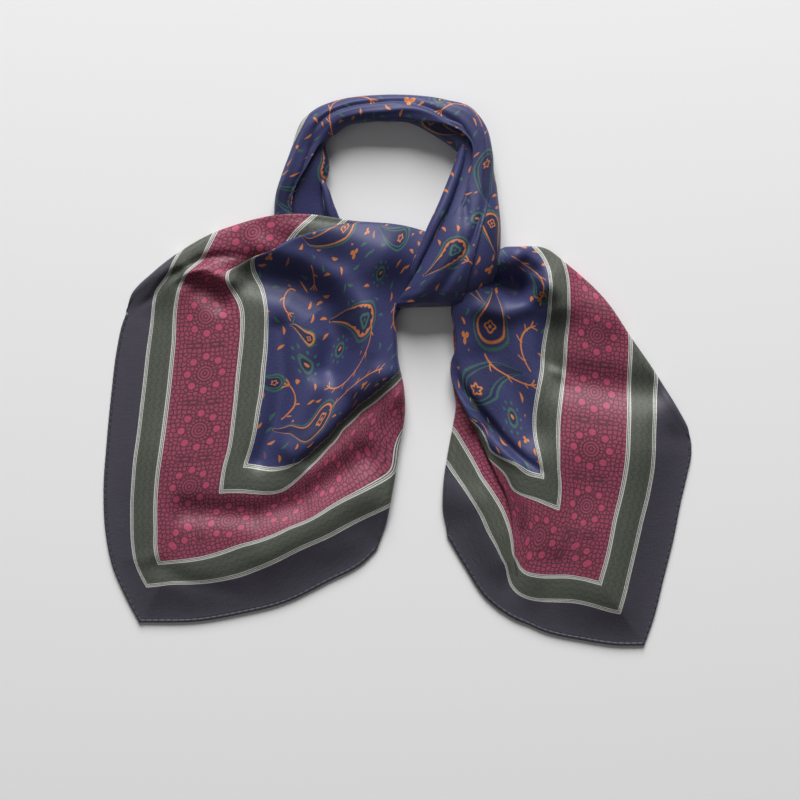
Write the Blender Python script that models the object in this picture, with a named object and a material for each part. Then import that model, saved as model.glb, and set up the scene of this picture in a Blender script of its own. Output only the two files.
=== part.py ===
"""Neckerchief: a printed silk square, folded on its diagonal, rolled into a neck loop and tied once.

It lies on a flat surface at z = 0, seen by the viewer from above (+Z), with the loop towards +Y and
the two flared ends towards -Y. Sizes in the tables are millimetres.
"""
import math

import bmesh
import bpy
import numpy as np

MM = 0.001
WALL = 1.5               # thickness of a cloth wall
GAP = 0.35               # clearance between two layers
LAYER = WALL + GAP       # one layer lies this much under the next
HEM_RADIUS = 1.4         # the rolled hem's radius
HEM_INSET = 2 * HEM_RADIUS + 2 * GAP
HEM_RISE = 34.0          # from a hem, the cloth rises over this distance
FOLD_RADIUS = 3.4        # how far a soft fold bulges past its layer's flat part
FULL_TURN = 6.0          # a fold turned under by this much has made its whole half turn
TURN_STEPS = 5
FULL_REACH = 0.25        # past this share of the half turn, the turned edge hangs its whole depth
EDGE_STEP = 0.02         # share of an edge over which its direction is measured
STRIP_DROP = LAYER + 1.2     # the lower layer of an overlap lies this much under the upper one
HEAP_DROP = 2 * LAYER + 2.2  # the hidden heap's top lies this much under the sheet
HEAP_ROUNDING = 9.0      # the heap's edges are rounded over this distance
KNOT_ROUNDING = 5.0
HEAP_EDGE = 0.45         # share of its height that a heap keeps at its edge
BODY_HEIGHT = 5.0        # height of the ends' cloth away from the hems, before the relief
KNOT_BASE = 14.0
ROLL_INSET = LAYER + 1.2     # the loop's inner rolls lie this much inside its upper layer
WRAP_CLEARANCE = 0.2     # extra clearance between the knot's two upper layers
OVAL_RING = 14           # sides of the loop's inner rolls
WRAP_RING = 10           # facets across the loop's upper layer
WRAP_UNDER = 202.0       # the upper layer reaches round the outer edge to this many degrees

# Outlines, in the order in which a hand follows them. turn is how far the cloth is turned under at
# that place, and rest is how high the turned edge lies.
#                    x     y  turn  rest
LEFT_SIDE_HEM = [(-158, -154), (-167, -138), (-176, -114), (-180, -78), (-177, -36), (-173, 0),
                 (-169, 22), (-166, 36)]
LEFT_LOWER_HEM = [(-158, -154), (-120, -153), (-97, -149), (-69, -142), (-42, -129), (-20, -117),
                  (-12, -109)]
LEFT_RIGHT_FOLD = [(-12, -109, 0, 0), (-8, -96, 0, 0), (-5, -82, 8, 0), (-2, -66, 12, 0), (2, -42, 12, 0), (5, -21, 12, 0),
                   (4, -8, 12, 0), (1, 6, 12, 0), (0, 20, 12, 0), (0, 34, 8, 0), (4, 40, 0, 0),
                   (8, 46, 0, 0), (16, 61, 0, 0), (21, 74, 0, 0), (25, 83, 0, 0)]
LEFT_TOP_FOLD = [(-166, 36, 0, 0), (-150, 47, 0, 0), (-131, 53, 0, 0), (-116, 57, 0, 0),
                 (-106, 61, 0, 0), (-88, 69, 0, 0), (-67, 78, 0, 0), (-47, 86, 0, 12),
                 (-33, 92, 8, 13), (-26, 92.5, 10, 13), (-16, 92, 10, 4), (-6, 91, 10, 0),
                 (8, 89, 10, 0), (17, 87, 4, 4), (25, 83, 0, 8)]
LEFT_STRIP_OUTER = [(-165.5, 39.2, 0, 0), (-163, 47, 0, 0), (-149, 61, 8, 0), (-135, 72, 10, 0),
                    (-110, 86, 10, 0), (-89, 93, 10, 0), (-78, 95, 10, 13.5),
                    (-54, 96, 10, 13.5), (-46, 95.5, 8, 13.5), (-41, 94.5, 0, 13.5)]
LEFT_STRIP_INNER = [(-164, 39.2), (-150.5, 49.2), (-131, 55.2), (-118, 58), (-106, 56), (-88, 61),
                    (-67, 70), (-50, 78), (-44, 80)]

RIGHT_SIDE_HEM = [(152, -168), (160, -143), (167, -115), (174, -92), (178, -69), (181, -43)]
RIGHT_LOWER_HEM = [(80, -155), (89, -159), (115, -165), (136, -168), (152, -168)]
HEM_CORNER = [(28.5, -96.7)]  # a point past the corner where the folded strip's hem begins
RIGHT_STRIP_HEM = [(31, -101), (41, -118), (55, -139), (73, -152), (79.6, -155)]
RIGHT_TOP_FOLD = [(59, 73, 0, 0), (66, 76, 6, 0), (76, 76.5, 10, 0), (91, 76, 12, 0),
                  (102, 68, 12, 0), (125, 47, 12, 0), (143, 21, 12, 0), (158, -1, 12, 0),
                  (166, -14, 10, 0), (173, -26, 0, 0), (178, -34, 0, 0), (181, -43, 0, 0)]
RIGHT_LEFT_FOLD = [(80, -155, 0, 0), (78, -139, 0, 0), (75, -118, 0, 0), (71, -103, 0, 0),
                   (67, -87, 0, 0), (63, -68, 0, 0), (53, -45, 0, 0), (45, -34, 0, 0),
                   (38, -21, 0, 0), (35, -9, 6, 0), (33, 0, 10, 0), (36, 13, 10, 0), (34, 28, 8, 0),
                   (33, 37, 0, 0), (33, 44, 0, 0), (42, 49, 0, 0), (52, 58, 0, 0), (59, 73, 0, 0)]
RIGHT_STRIP_OUTER = [(31, -101, 0, 0), (30, -90, 0, 0), (30, -78, 5, 0), (30, -66, 10, 0),
                     (32, -50, 10, 0),
                     (34, -38, 8, 0), (36, -30, 0, 0), (38.5, -24, 0, 0)]
RIGHT_STRIP_INNER = [(79.2, -155), (77, -139), (74, -118), (70, -103), (66, -87),
                     (66, -70), (59, -46), (51, -33), (45, -23)]

WRAP_LEFT = [(0, 38), (3, 44), (10, 56), (16, 66), (22, 79), (27, 92.5)]
WRAP_LOWER = [(0, 38, 0, 0), (5, 38, 0, 0), (14, 38, 12, 0), (26, 38.5, 12, 0), (32, 40, 0, 0),
              (41, 45, 0, 0)]
WRAP_RIGHT = [(41, 45), (46, 60), (51, 74), (56, 91.8)]
WRAP_UPPER = [(27, 92.5), (41, 92.2), (56, 91.8)]
STRIP_LEFT = [(42, 45.5), (43, 60), (47, 74), (50, 91.9)]
STRIP_RIGHT = [(61, 58, 0, 0), (63, 70, 0, 0), (63.5, 78, 0, 0), (63.5, 82, 8, 0),
               (63.5, 91.6, 8, 0)]
STRIP_LOWER = [(42, 45.5), (50, 46), (55, 51), (61, 58)]
STRIP_UPPER = [(50, 91.9), (56, 91.8), (63.5, 91.6)]
KNOT_LEFT = [(13, 50), (19.5, 61), (24.5, 74), (28, 86)]
KNOT_RIGHT = [(31, 50), (38, 53), (48, 63), (53, 75), (54, 86)]

# Mounds and troughs of the cloth: each a soft ridge from one point to another.
#                     x0    y0    x1   y1  width height
LEFT_RELIEF = [
    ("body of the end", -105, -60, -60, 0, 62, 4.5),
    ("over the strand", -66, 90, -10, 76, 18, 12.0),
    ("root", 2, 70, 24, 64, 18, 6.0),
    ("right ridge", -14, 50, -4, -10, 15, 6.5),
    ("upper strip", -140, 58, -90, 84, 18, 3.5),
    ("valley", -74, 48, -36, 28, 16, -4.5),
    ("dimple", -112, 46, -108, 44, 9, -3.0),
    ("lower trough", -32, -56, -98, -88, 9, -3.5),
    ("lower swell", -20, -75, -80, -112, 14, 3.0),
]
RIGHT_RELIEF = [
    ("body of the end", 100, -40, 130, -60, 58, 5.0),
    ("root", 38, 44, 60, 64, 18, 9.0),
    ("top rim", 74, 68, 97, 44, 13, 8.5),
    ("hollow", 70, 52, 76, 50, 9, -9.0),
    ("navy swell", 46, 10, 60, -20, 18, 5.0),
    ("inner trough", 92, 10, 88, -32, 9, -4.0),
    ("outer swell", 120, 20, 150, -30, 20, 3.5),
    ("lower trough", 66, -88, 76, -128, 8, -3.0),
    ("lower swell", 50, -80, 60, -120, 14, 3.5),
]
KNOT_RELIEF = [
    ("crown", 36, 72, 24, 58, 26, 14.0),
    ("shoulder", 52, 84, 44, 66, 12, 3.0),
]

# The loop: the outer and the inner edge of each station, how high it is, and how much of its width
# the upper layer covers, from wrap_from to wrap_to (0 at the outer edge, 1 at the inner edge).
#       outer_x outer_y inner_x inner_y height wrap_from wrap_to
LOOP = [
    (-75, 90, -36, 88, 11.0, 0.0, 0.30),
    (-74, 108, -42, 108, 14.0, 0.0, 0.31),
    (-70, 121, -38, 125, 17.0, 0.0, 0.42),
    (-64, 137, -40, 139, 18.0, 0.0, 0.72),
    (-59, 151, -37, 143, 19.0, 0.0, 0.95),
    (-50, 160, -30, 149, 19.0, 0.0, 0.96),
    (-35, 166, -20, 151, 19.0, 0.0, 0.95),
    (-9, 169, -7, 150, 19.0, 0.0, 0.86),
    (14, 168.5, 8, 149, 19.0, 0.0, 0.79),
    (30, 166, 23, 141, 20.0, 0.0, 0.58),
    (47, 160, 34, 133, 20.0, 0.0, 0.52),
    (55, 149, 37, 129, 20.0, 0.0, 0.50),
    (58.5, 135, 35, 123, 20.0, 0.0, 0.50),
    (59.5, 120, 31, 112, 20.0, 0.05, 0.54),
    (61.5, 106, 27, 102, 20.0, 0.10, 0.62),
    (63, 92, 24, 93, 21.0, 0.16, 0.70),
]
LOOP_LEFT = (0.0, 0.315)
LOOP_TOP = (0.320, 0.732)
LOOP_RIGHT = (0.738, 1.0)
LOOP_STATIONS = {"left": (LOOP_LEFT, 8), "top": (LOOP_TOP, 12), "right": (LOOP_RIGHT, 8)}

#                x    y    z   radius
RIGHT_INNER = [(39.5, 132, 17.8, 1.5), (37.5, 124, 19.0, 2.2), (33, 112, 20.5, 2.6),
               (28, 99, 23.0, 2.6), (22.6, 88, 23.5, 2.4), (17.2, 76, 22.0, 2.3),
               (12.2, 65, 20.5, 1.9), (9, 58.5, 19.5, 1.2)]
LEFT_INNER = [(-44.0, 112, 17.5, 1.2), (-42.5, 106, 17.3, 1.8), (-40.5, 99, 15.8, 2.4)]

# Where each rolled hem starts and stops, as shares of its side, and how many points it has.
#    name                    side  left_of_way  start  end  points
HEMS = [
    ("left_end_side_hem", LEFT_SIDE_HEM, False, 0.012, 0.995, 18),
    ("left_end_lower_hem", LEFT_LOWER_HEM, True, 0.01, 0.985, 14),
    ("right_end_side_hem", RIGHT_SIDE_HEM, True, 0.02, 0.985, 12),
    ("right_end_lower_hem", RIGHT_STRIP_HEM[:-1] + RIGHT_LOWER_HEM, True, 0.0, 0.975, 16),
]

# The hidden heaps: four edges each, inside the panel that covers them.
LEFT_HEAP = ([(-146, -128), (-160, -70), (-155, 0), (-140, 30)],
             [(-32, -100), (-16, -60), (-12, -15), (-14, 30)],
             [(-146, -128), (-90, -128), (-32, -100)],
             [(-140, 30), (-100, 44), (-50, 60), (-14, 30)])
LEFT_ROOT_HEAP = ([(-70, 66), (-68, 82)], [(6, 47), (14, 61), (18, 76)],
                  [(-70, 66), (-30, 56), (6, 47)], [(-68, 82), (-30, 82), (18, 76)])
RIGHT_HEAP = ([(62, -100), (54, -70), (52, -20), (54, 20)],
              [(138, -136), (150, -110), (156, -50), (112, 28)],
              [(62, -100), (96, -128), (138, -136)], [(54, 20), (80, 31), (112, 28)])
RIGHT_ROOT_HEAP = ([(50, 36), (55, 50), (63, 63)], [(88, 40), (86, 61)],
                   [(50, 36), (70, 38), (88, 40)], [(63, 63), (86, 61)])

COLOURS = {
    "navy": (0.045, 0.05, 0.12, 1.0),
    "burgundy": (0.25, 0.045, 0.09, 1.0),
    "charcoal": (0.05, 0.048, 0.06, 1.0),
}


def clear_scene():
    for obj in list(bpy.data.objects):
        bpy.data.objects.remove(obj, do_unlink=True)


def silk(name, colour):
    material = bpy.data.materials.new(name)
    material.use_nodes = True
    shader = material.node_tree.nodes["Principled BSDF"]
    shader.inputs["Base Color"].default_value = COLOURS[colour]
    shader.inputs["Roughness"].default_value = 0.5
    shader.inputs["Metallic"].default_value = 0.0
    return material


def smoothstep(value):
    value = min(max(value, 0.0), 1.0)
    return value * value * (3 - 2 * value)


class Path:
    """A smooth curve through the rows of a table, by the share of its length."""

    def __init__(self, rows):
        self.rows = np.array(rows, dtype=float)
        steps = np.linalg.norm(np.diff(self.rows[:, :2], axis=0), axis=1)
        self.marks = np.concatenate([[0.0], np.cumsum(steps)])
        self.length = self.marks[-1]
        self.slopes = np.gradient(self.rows, self.marks, axis=0)

    def at(self, share):
        place = min(max(share, 0.0), 1.0) * self.length
        i = min(int(np.searchsorted(self.marks, place, side="right")) - 1, len(self.marks) - 2)
        span = self.marks[i + 1] - self.marks[i]
        t = (place - self.marks[i]) / span
        smooth = (2 * t ** 3 - 3 * t ** 2 + 1) * self.rows[i]
        smooth = smooth + (t ** 3 - 2 * t ** 2 + t) * span * self.slopes[i]
        smooth = smooth + (3 * t ** 2 - 2 * t ** 3) * self.rows[i + 1]
        smooth = smooth + (t ** 3 - t ** 2) * span * self.slopes[i + 1]
        straight = (1 - t) * self.rows[i] + t * self.rows[i + 1]
        return np.concatenate([smooth[:2], straight[2:]])


class Patch:
    """A cloth panel between four edges: left and right run up, lower and upper run to the right."""

    def __init__(self, left, right, lower, upper):
        self.left = Path(left)
        self.right = Path(right)
        self.lower = Path(lower)
        self.upper = Path(upper)

    def at(self, u, v):
        left = self.left.at(v)[:2]
        right = self.right.at(v)[:2]
        lower = self.lower.at(u)[:2]
        upper = self.upper.at(u)[:2]
        corners = (1 - u) * (1 - v) * self.lower.at(0)[:2] + u * (1 - v) * self.lower.at(1)[:2]
        corners = corners + (1 - u) * v * self.upper.at(0)[:2] + u * v * self.upper.at(1)[:2]
        return (1 - v) * lower + v * upper + (1 - u) * left + u * right - corners


def distance_to(rows, x, y):
    points = np.array(rows, dtype=float)[:, :2]
    start = points[:-1]
    step = points[1:] - start
    t = ((np.array([x, y]) - start) * step).sum(axis=1) / (step * step).sum(axis=1)
    foot = start + step * np.clip(t, 0, 1)[:, None]
    return float(np.linalg.norm(foot - (x, y), axis=1).min())


def clear_of(rows, place, distance):
    """The place, moved straight away from an outline until it is this far from it."""
    points = np.array(rows, dtype=float)[:, :2]
    start = points[:-1]
    step = points[1:] - start
    t = ((place - start) * step).sum(axis=1) / (step * step).sum(axis=1)
    foot = start + step * np.clip(t, 0, 1)[:, None]
    away = np.linalg.norm(foot - place, axis=1)
    near = int(away.argmin())
    if away[near] >= distance:
        return place
    return foot[near] + (place - foot[near]) * distance / away[near]


def relief(table, x, y):
    total = 0.0
    for _, x0, y0, x1, y1, width, height in table:
        away = distance_to([(x0, y0), (x1, y1)], x, y)
        total += height * math.exp(-(away / width) ** 2)
    return total


def left_height(x, y):
    hem = min(distance_to(LEFT_SIDE_HEM, x, y), distance_to(LEFT_LOWER_HEM, x, y))
    return WALL + (BODY_HEIGHT + relief(LEFT_RELIEF, x, y)) * smoothstep(hem / HEM_RISE)


def right_height(x, y):
    hem = min(distance_to(RIGHT_SIDE_HEM, x, y), distance_to(RIGHT_LOWER_HEM, x, y),
              distance_to(RIGHT_STRIP_HEM, x, y))
    return WALL + (BODY_HEIGHT + relief(RIGHT_RELIEF, x, y)) * smoothstep(hem / HEM_RISE)


def lowered(height, drop):
    return lambda x, y: max(height(x, y) - drop, WALL)


def add_object(name, bm, colour):
    bmesh.ops.recalc_face_normals(bm, faces=bm.faces)
    mesh = bpy.data.meshes.new(name)
    bm.to_mesh(mesh)
    bm.free()
    mesh.materials.append(silk(name, colour))
    mesh.shade_smooth()
    obj = bpy.data.objects.new(name, mesh)
    bpy.context.scene.collection.objects.link(obj)
    return obj


class Sheet:
    """A panel with a height: its hems stop short for the rolled hem, its folds turn under."""

    def __init__(self, patch, height, hems=(), folds=(), rolled=()):
        self.patch = patch
        self.height = height
        self.hems = hems
        self.folds = folds
        self.rolled = rolled

    def margin(self, side):
        if side in self.hems:
            return HEM_INSET
        return FOLD_RADIUS if side in self.folds else 0.0

    def flat(self, u, v):
        """The plan place of a share across and up the flat part of the panel."""
        wide = max(self.patch_width(v), 1.0)
        tall = max(self.patch_height(u), 1.0)
        low_u = self.margin("left") / wide
        high_u = 1 - self.turned("right", v) * self.margin("right") / wide
        low_v = self.margin("lower") / tall
        high_v = 1 - self.turned("upper", u) * self.margin("upper") / tall
        if "left" in self.folds:
            low_u *= self.turned("left", v)
        if "lower" in self.folds:
            low_v *= self.turned("lower", u)
        place = self.patch.at(low_u + (high_u - low_u) * u, low_v + (high_v - low_v) * v)
        for hem in self.rolled:
            place = clear_of(hem, place, HEM_INSET)
        return place

    def patch_width(self, v):
        return float(np.linalg.norm(self.patch.at(1, v) - self.patch.at(0, v)))

    def patch_height(self, u):
        return float(np.linalg.norm(self.patch.at(u, 1) - self.patch.at(u, 0)))

    def turned(self, side, share):
        """How much of its half turn the fold has made here, from 0 to 1."""
        if side not in self.folds:
            return 1.0
        return smoothstep(getattr(self.patch, side).at(share)[2] / FULL_TURN)

    def outward(self, side, u, v):
        if side in ("left", "right"):
            low = self.flat(u, max(v - EDGE_STEP, 0))
            high = self.flat(u, min(v + EDGE_STEP, 1))
        else:
            low = self.flat(max(u - EDGE_STEP, 0), v)
            high = self.flat(min(u + EDGE_STEP, 1), v)
        along = (high - low) / np.linalg.norm(high - low)
        sign = 1 if side in ("right", "lower") else -1
        return sign * np.array([along[1], -along[0]])

    def turned_under(self, side, u, v, step):
        share = v if side in ("left", "right") else u
        turn, rest = getattr(self.patch, side).at(share)[2:4]
        made = smoothstep(turn / FULL_TURN)
        edge = self.flat(u, v)
        top = self.height(*edge)
        angle = math.pi * made * min(step / (TURN_STEPS - 1), 1.0)
        lip = max(turn - FULL_TURN, 0.0) if step == TURN_STEPS else 0.0
        rise = 0.5 * max(top - rest, 2 * WALL + 2 * GAP)
        reach = FOLD_RADIUS * made * math.sin(angle) if made > 0 else 0.0
        place = edge + self.outward(side, u, v) * (reach - lip)
        drop = rise * (1 - math.cos(angle)) * min(made / FULL_REACH, 1)
        return place[0], place[1], top - drop

    def at(self, column, row, columns, rows):
        """The place of a vertex: past the last column or row it is turned under."""
        u = min(max(column / columns, 0), 1)
        v = min(max(row / rows, 0), 1)
        if column > columns:
            return self.turned_under("right", u, v, column - columns)
        if column < 0:
            return self.turned_under("left", u, v, -column)
        if row > rows:
            return self.turned_under("upper", u, v, row - rows)
        if row < 0:
            return self.turned_under("lower", u, v, -row)
        x, y = self.flat(u, v)
        return x, y, self.height(x, y)


def build_sheet(name, sheet, colour, columns, rows, wall=WALL):
    """A grid of cloth laid on its sheet, then given its wall; its underside lies flat at z = 0."""
    low_column = -TURN_STEPS if "left" in sheet.folds else 0
    high_column = columns + (TURN_STEPS if "right" in sheet.folds else 0)
    low_row = -TURN_STEPS if "lower" in sheet.folds else 0
    high_row = rows + (TURN_STEPS if "upper" in sheet.folds else 0)
    wide = high_column - low_column
    tall = high_row - low_row
    bm = bmesh.new()
    bmesh.ops.create_grid(bm, x_segments=wide, y_segments=tall, size=0.5)
    spare = []
    for vertex in bm.verts:
        column = low_column + round((vertex.co.x + 0.5) * wide)
        row = low_row + round((vertex.co.y + 0.5) * tall)
        if not (0 <= column <= columns or 0 <= row <= rows):
            spare.append(vertex)
            continue
        x, y, z = sheet.at(column, row, columns, rows)
        vertex.co = (x * MM, y * MM, z * MM)
    bmesh.ops.delete(bm, geom=spare, context="VERTS")
    bmesh.ops.remove_doubles(bm, verts=bm.verts, dist=0.05 * MM)
    bmesh.ops.dissolve_degenerate(bm, edges=bm.edges, dist=0.02 * MM)
    bm.normal_update()
    bmesh.ops.solidify(bm, geom=bm.faces[:], thickness=wall * MM)
    for vertex in bm.verts:
        vertex.co.z = max(vertex.co.z, 0.0)
    return add_object(name, bm, colour)


def build_layers(name, patch, height, colour, columns, rows, edge=HEAP_ROUNDING):
    """The heap of hidden layers: a rounded solid with a flat underside."""
    bm = bmesh.new()
    bmesh.ops.create_grid(bm, x_segments=columns, y_segments=rows, size=0.5)
    for vertex in bm.verts:
        u = vertex.co.x + 0.5
        v = vertex.co.y + 0.5
        x, y = patch.at(u, v)
        wide = np.linalg.norm(patch.at(1, v) - patch.at(0, v))
        tall = np.linalg.norm(patch.at(u, 1) - patch.at(u, 0))
        inside = min(min(u, 1 - u) * wide, min(v, 1 - v) * tall) / edge
        rounding = math.sqrt(1 - (1 - min(inside, 1)) ** 2)
        rounding = HEAP_EDGE + (1 - HEAP_EDGE) * rounding
        vertex.co = (x * MM, y * MM, height(x, y) * rounding * MM)
    top = bm.faces[:]
    grown = bmesh.ops.extrude_face_region(bm, geom=top, use_keep_orig=True)
    for element in grown["geom"]:
        if isinstance(element, bmesh.types.BMVert):
            element.co.z = 0.0
    return add_object(name, bm, colour)


class Loop:
    """The neck loop: at each station an oval section from the outer to the inner edge."""

    def __init__(self, rows):
        middle = [((r[0] + r[2]) / 2, (r[1] + r[3]) / 2) for r in rows]
        self.path = Path([m + r for m, r in zip(middle, rows)])

    def section(self, share, angle, inset):
        """A point of the oval: 0 degrees is its inner edge, 90 its top and 180 its outer edge."""
        row = self.path.at(share)
        outer = row[2:4]
        inner = row[4:6]
        height = row[6]
        half = 0.5 * float(np.linalg.norm(inner - outer)) - inset
        across = (inner - outer) / np.linalg.norm(inner - outer)
        place = (outer + inner) / 2 + across * half * math.cos(angle)
        rise = 0.5 * (height - inset)
        return place[0], place[1], rise + rise * math.sin(angle)

    def covered(self, share):
        """The angles between which the upper layer covers the oval."""
        row = self.path.at(share)
        start = math.acos(-1 + 2 * row[8])
        end = math.acos(-1 + 2 * row[7]) if row[7] > EDGE_STEP else math.radians(WRAP_UNDER)
        return start, end


def build_roll(name, loop, stretch, colour, stations):
    """The layers inside the loop: a closed oval tube along one stretch of it."""
    bm = bmesh.new()
    bmesh.ops.create_grid(bm, x_segments=OVAL_RING, y_segments=stations, size=0.5)
    for vertex in bm.verts:
        angle = 2 * math.pi * (vertex.co.x + 0.5)
        share = stretch[0] + (stretch[1] - stretch[0]) * (vertex.co.y + 0.5)
        x, y, z = loop.section(share, angle, ROLL_INSET)
        vertex.co = (x * MM, y * MM, z * MM)
    bmesh.ops.remove_doubles(bm, verts=bm.verts, dist=0.01 * MM)
    open_edges = [edge for edge in bm.edges if edge.is_boundary]
    bmesh.ops.holes_fill(bm, edges=open_edges)
    bmesh.ops.triangulate(bm, faces=[face for face in bm.faces if len(face.verts) > 4])
    return add_object(name, bm, colour)


def build_wrap(name, loop, stretch, colour, stations):
    """The upper layer of the loop: an open wall over the oval, thick as a cloth wall."""
    bm = bmesh.new()
    bmesh.ops.create_grid(bm, x_segments=WRAP_RING, y_segments=stations, size=0.5)
    for vertex in bm.verts:
        share = stretch[0] + (stretch[1] - stretch[0]) * (vertex.co.y + 0.5)
        start, end = loop.covered(share)
        angle = end + (start - end) * (vertex.co.x + 0.5)
        x, y, z = loop.section(share, angle, 0.0)
        vertex.co = (x * MM, y * MM, z * MM)
    bm.normal_update()
    bmesh.ops.solidify(bm, geom=bm.faces[:], thickness=WALL * MM)
    return add_object(name, bm, colour)


def build_tube(name, rows, colour, points, sides=2):
    """A small roll: a curve with a round bevel and filled ends."""
    path = Path([(r[0], r[1], r[2], r[3]) for r in rows])
    data = bpy.data.curves.new(name, "CURVE")
    data.dimensions = "3D"
    data.bevel_depth = MM
    data.bevel_resolution = sides
    data.use_fill_caps = True
    spline = data.splines.new("POLY")
    spline.points.add(points - 1)
    for i, point in enumerate(spline.points):
        x, y, z, radius = path.at(i / (points - 1))
        point.co = (x * MM, y * MM, z * MM, 1.0)
        point.radius = radius
    data.materials.append(silk(name, colour))
    obj = bpy.data.objects.new(name, data)
    bpy.context.scene.collection.objects.link(obj)
    return obj


def inward(rows, distance, left_of_way):
    """The rows of an outline moved sideways, to the left or right of its direction."""
    path = Path(rows)
    moved = []
    for mark in path.marks / path.length:
        low = path.at(mark - EDGE_STEP)
        high = path.at(mark + EDGE_STEP)
        along = (high - low)[:2] / np.linalg.norm((high - low)[:2])
        side = np.array([-along[1], along[0]]) * (1 if left_of_way else -1)
        moved.append(path.at(mark)[:2] + side * distance)
    return moved


def build_hem(name, rows, left_of_way, start, end, points):
    """The rolled hem of one side, from a share of the side's length to another."""
    middle = Path(inward(rows, HEM_RADIUS, left_of_way))
    shares = [start + (end - start) * i / (points - 1) for i in range(points)]
    places = [middle.at(share) for share in shares]
    table = [(p[0], p[1], HEM_RADIUS, HEM_RADIUS) for p in places]
    return build_tube(name, table, "charcoal", points, sides=1)


def on_roots(x, y):
    return max(left_height(x, y), right_height(x, y)) + STRIP_DROP


def strip_height(x, y):
    return max(KNOT_BASE + relief(KNOT_RELIEF, x, y) - LAYER, on_roots(x, y))


def wrap_height(x, y):
    return strip_height(x, y) + LAYER + WRAP_CLEARANCE


def build_left_end():
    panel = Patch(LEFT_SIDE_HEM, LEFT_RIGHT_FOLD, LEFT_LOWER_HEM, LEFT_TOP_FOLD)
    hems = (LEFT_SIDE_HEM, LEFT_LOWER_HEM)
    sheet = Sheet(panel, left_height, ("left", "lower"), ("right", "upper"), hems)
    build_sheet("left_end", sheet, "burgundy", 20, 22)
    start = [LEFT_STRIP_INNER[0], LEFT_STRIP_OUTER[0][:2]]
    end = [LEFT_STRIP_INNER[-1], LEFT_STRIP_OUTER[-1][:2]]
    strip = Patch(start, end, LEFT_STRIP_INNER, LEFT_STRIP_OUTER)
    sheet = Sheet(strip, lowered(left_height, STRIP_DROP), folds=("upper",))
    build_sheet("left_end_upper_fold", sheet, "burgundy", 16, 4)
    height = lowered(left_height, HEAP_DROP)
    build_layers("left_end_layers", Patch(*LEFT_HEAP), height, "navy", 10, 12)
    build_layers("left_end_root_layers", Patch(*LEFT_ROOT_HEAP), height, "navy", 10, 4)


def build_right_end():
    panel = Patch(RIGHT_LEFT_FOLD, RIGHT_SIDE_HEM, RIGHT_LOWER_HEM, RIGHT_TOP_FOLD)
    hems = (RIGHT_SIDE_HEM, RIGHT_LOWER_HEM, HEM_CORNER + RIGHT_STRIP_HEM)
    sheet = Sheet(panel, right_height, ("right", "lower"), ("left", "upper"), hems)
    build_sheet("right_end", sheet, "burgundy", 16, 28)
    top = [RIGHT_STRIP_OUTER[-1][:2], RIGHT_STRIP_INNER[-1]]
    strip = Patch(RIGHT_STRIP_OUTER, RIGHT_STRIP_INNER, RIGHT_STRIP_HEM, top)
    sheet = Sheet(strip, lowered(right_height, STRIP_DROP), ("lower",), ("left",), hems[1:])
    build_sheet("right_end_lower_fold", sheet, "burgundy", 6, 16)
    height = lowered(right_height, HEAP_DROP)
    build_layers("right_end_layers", Patch(*RIGHT_HEAP), height, "navy", 10, 12)
    build_layers("right_end_root_layers", Patch(*RIGHT_ROOT_HEAP), height, "navy", 6, 5)


def build_knot():
    wrap = Patch(WRAP_LEFT, WRAP_RIGHT, WRAP_LOWER, WRAP_UPPER)
    build_sheet("knot_wrap", Sheet(wrap, wrap_height, folds=("lower",)), "navy", 8, 10)
    strip = Patch(STRIP_LEFT, STRIP_RIGHT, STRIP_LOWER, STRIP_UPPER)
    sheet = Sheet(strip, strip_height, folds=("right",))
    build_sheet("knot_outer_strip", sheet, "navy", 4, 8)
    lower = [KNOT_LEFT[0], KNOT_RIGHT[0]]
    upper = [KNOT_LEFT[-1], KNOT_RIGHT[-1]]
    core = Patch(KNOT_LEFT, KNOT_RIGHT, lower, upper)
    height = lowered(wrap_height, HEAP_DROP)
    build_layers("knot_layers", core, height, "navy", 8, 8, KNOT_ROUNDING)


def build_loop():
    loop = Loop(LOOP)
    for place, (stretch, stations) in LOOP_STATIONS.items():
        build_roll(f"loop_{place}_roll", loop, stretch, "navy", stations)
        build_wrap(f"loop_{place}_wrap", loop, stretch, "navy", stations)
    build_tube("loop_right_inner_roll", RIGHT_INNER, "navy", 14)
    build_tube("loop_left_inner_roll", LEFT_INNER, "navy", 8)


def build_hems():
    for name, side, left_of_way, start, end, points in HEMS:
        build_hem(name, side, left_of_way, start, end, points)


def main():
    clear_scene()
    build_left_end()
    build_right_end()
    build_knot()
    build_loop()
    build_hems()


main()
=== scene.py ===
"""Printed silk neckerchief, folded on its diagonal, rolled, tied once and laid flat, seen from above."""

import math

import bmesh
import bpy
import numpy as np
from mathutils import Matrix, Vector


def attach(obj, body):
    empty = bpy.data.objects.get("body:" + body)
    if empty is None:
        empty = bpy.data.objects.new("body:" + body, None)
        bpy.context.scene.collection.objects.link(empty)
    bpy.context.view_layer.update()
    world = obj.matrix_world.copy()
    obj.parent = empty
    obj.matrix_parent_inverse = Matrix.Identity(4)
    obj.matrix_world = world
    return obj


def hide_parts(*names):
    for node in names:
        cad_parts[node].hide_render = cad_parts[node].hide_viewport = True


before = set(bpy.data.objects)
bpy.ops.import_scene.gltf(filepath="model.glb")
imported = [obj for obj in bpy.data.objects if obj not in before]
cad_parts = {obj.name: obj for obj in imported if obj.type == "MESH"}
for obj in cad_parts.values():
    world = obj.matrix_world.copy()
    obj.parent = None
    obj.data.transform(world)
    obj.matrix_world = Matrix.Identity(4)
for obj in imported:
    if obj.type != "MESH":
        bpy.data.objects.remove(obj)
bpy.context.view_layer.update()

MM = 0.001
SILK = 0.5               # thickness of the shown cloth
LOWEST = 0.6             # the ends' cloth lies at least this high
HEM_RADIUS = 1.25
HEM_REACH = 1.3          # the cloth's edge lies this far inside the hem roll's outer side
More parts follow.
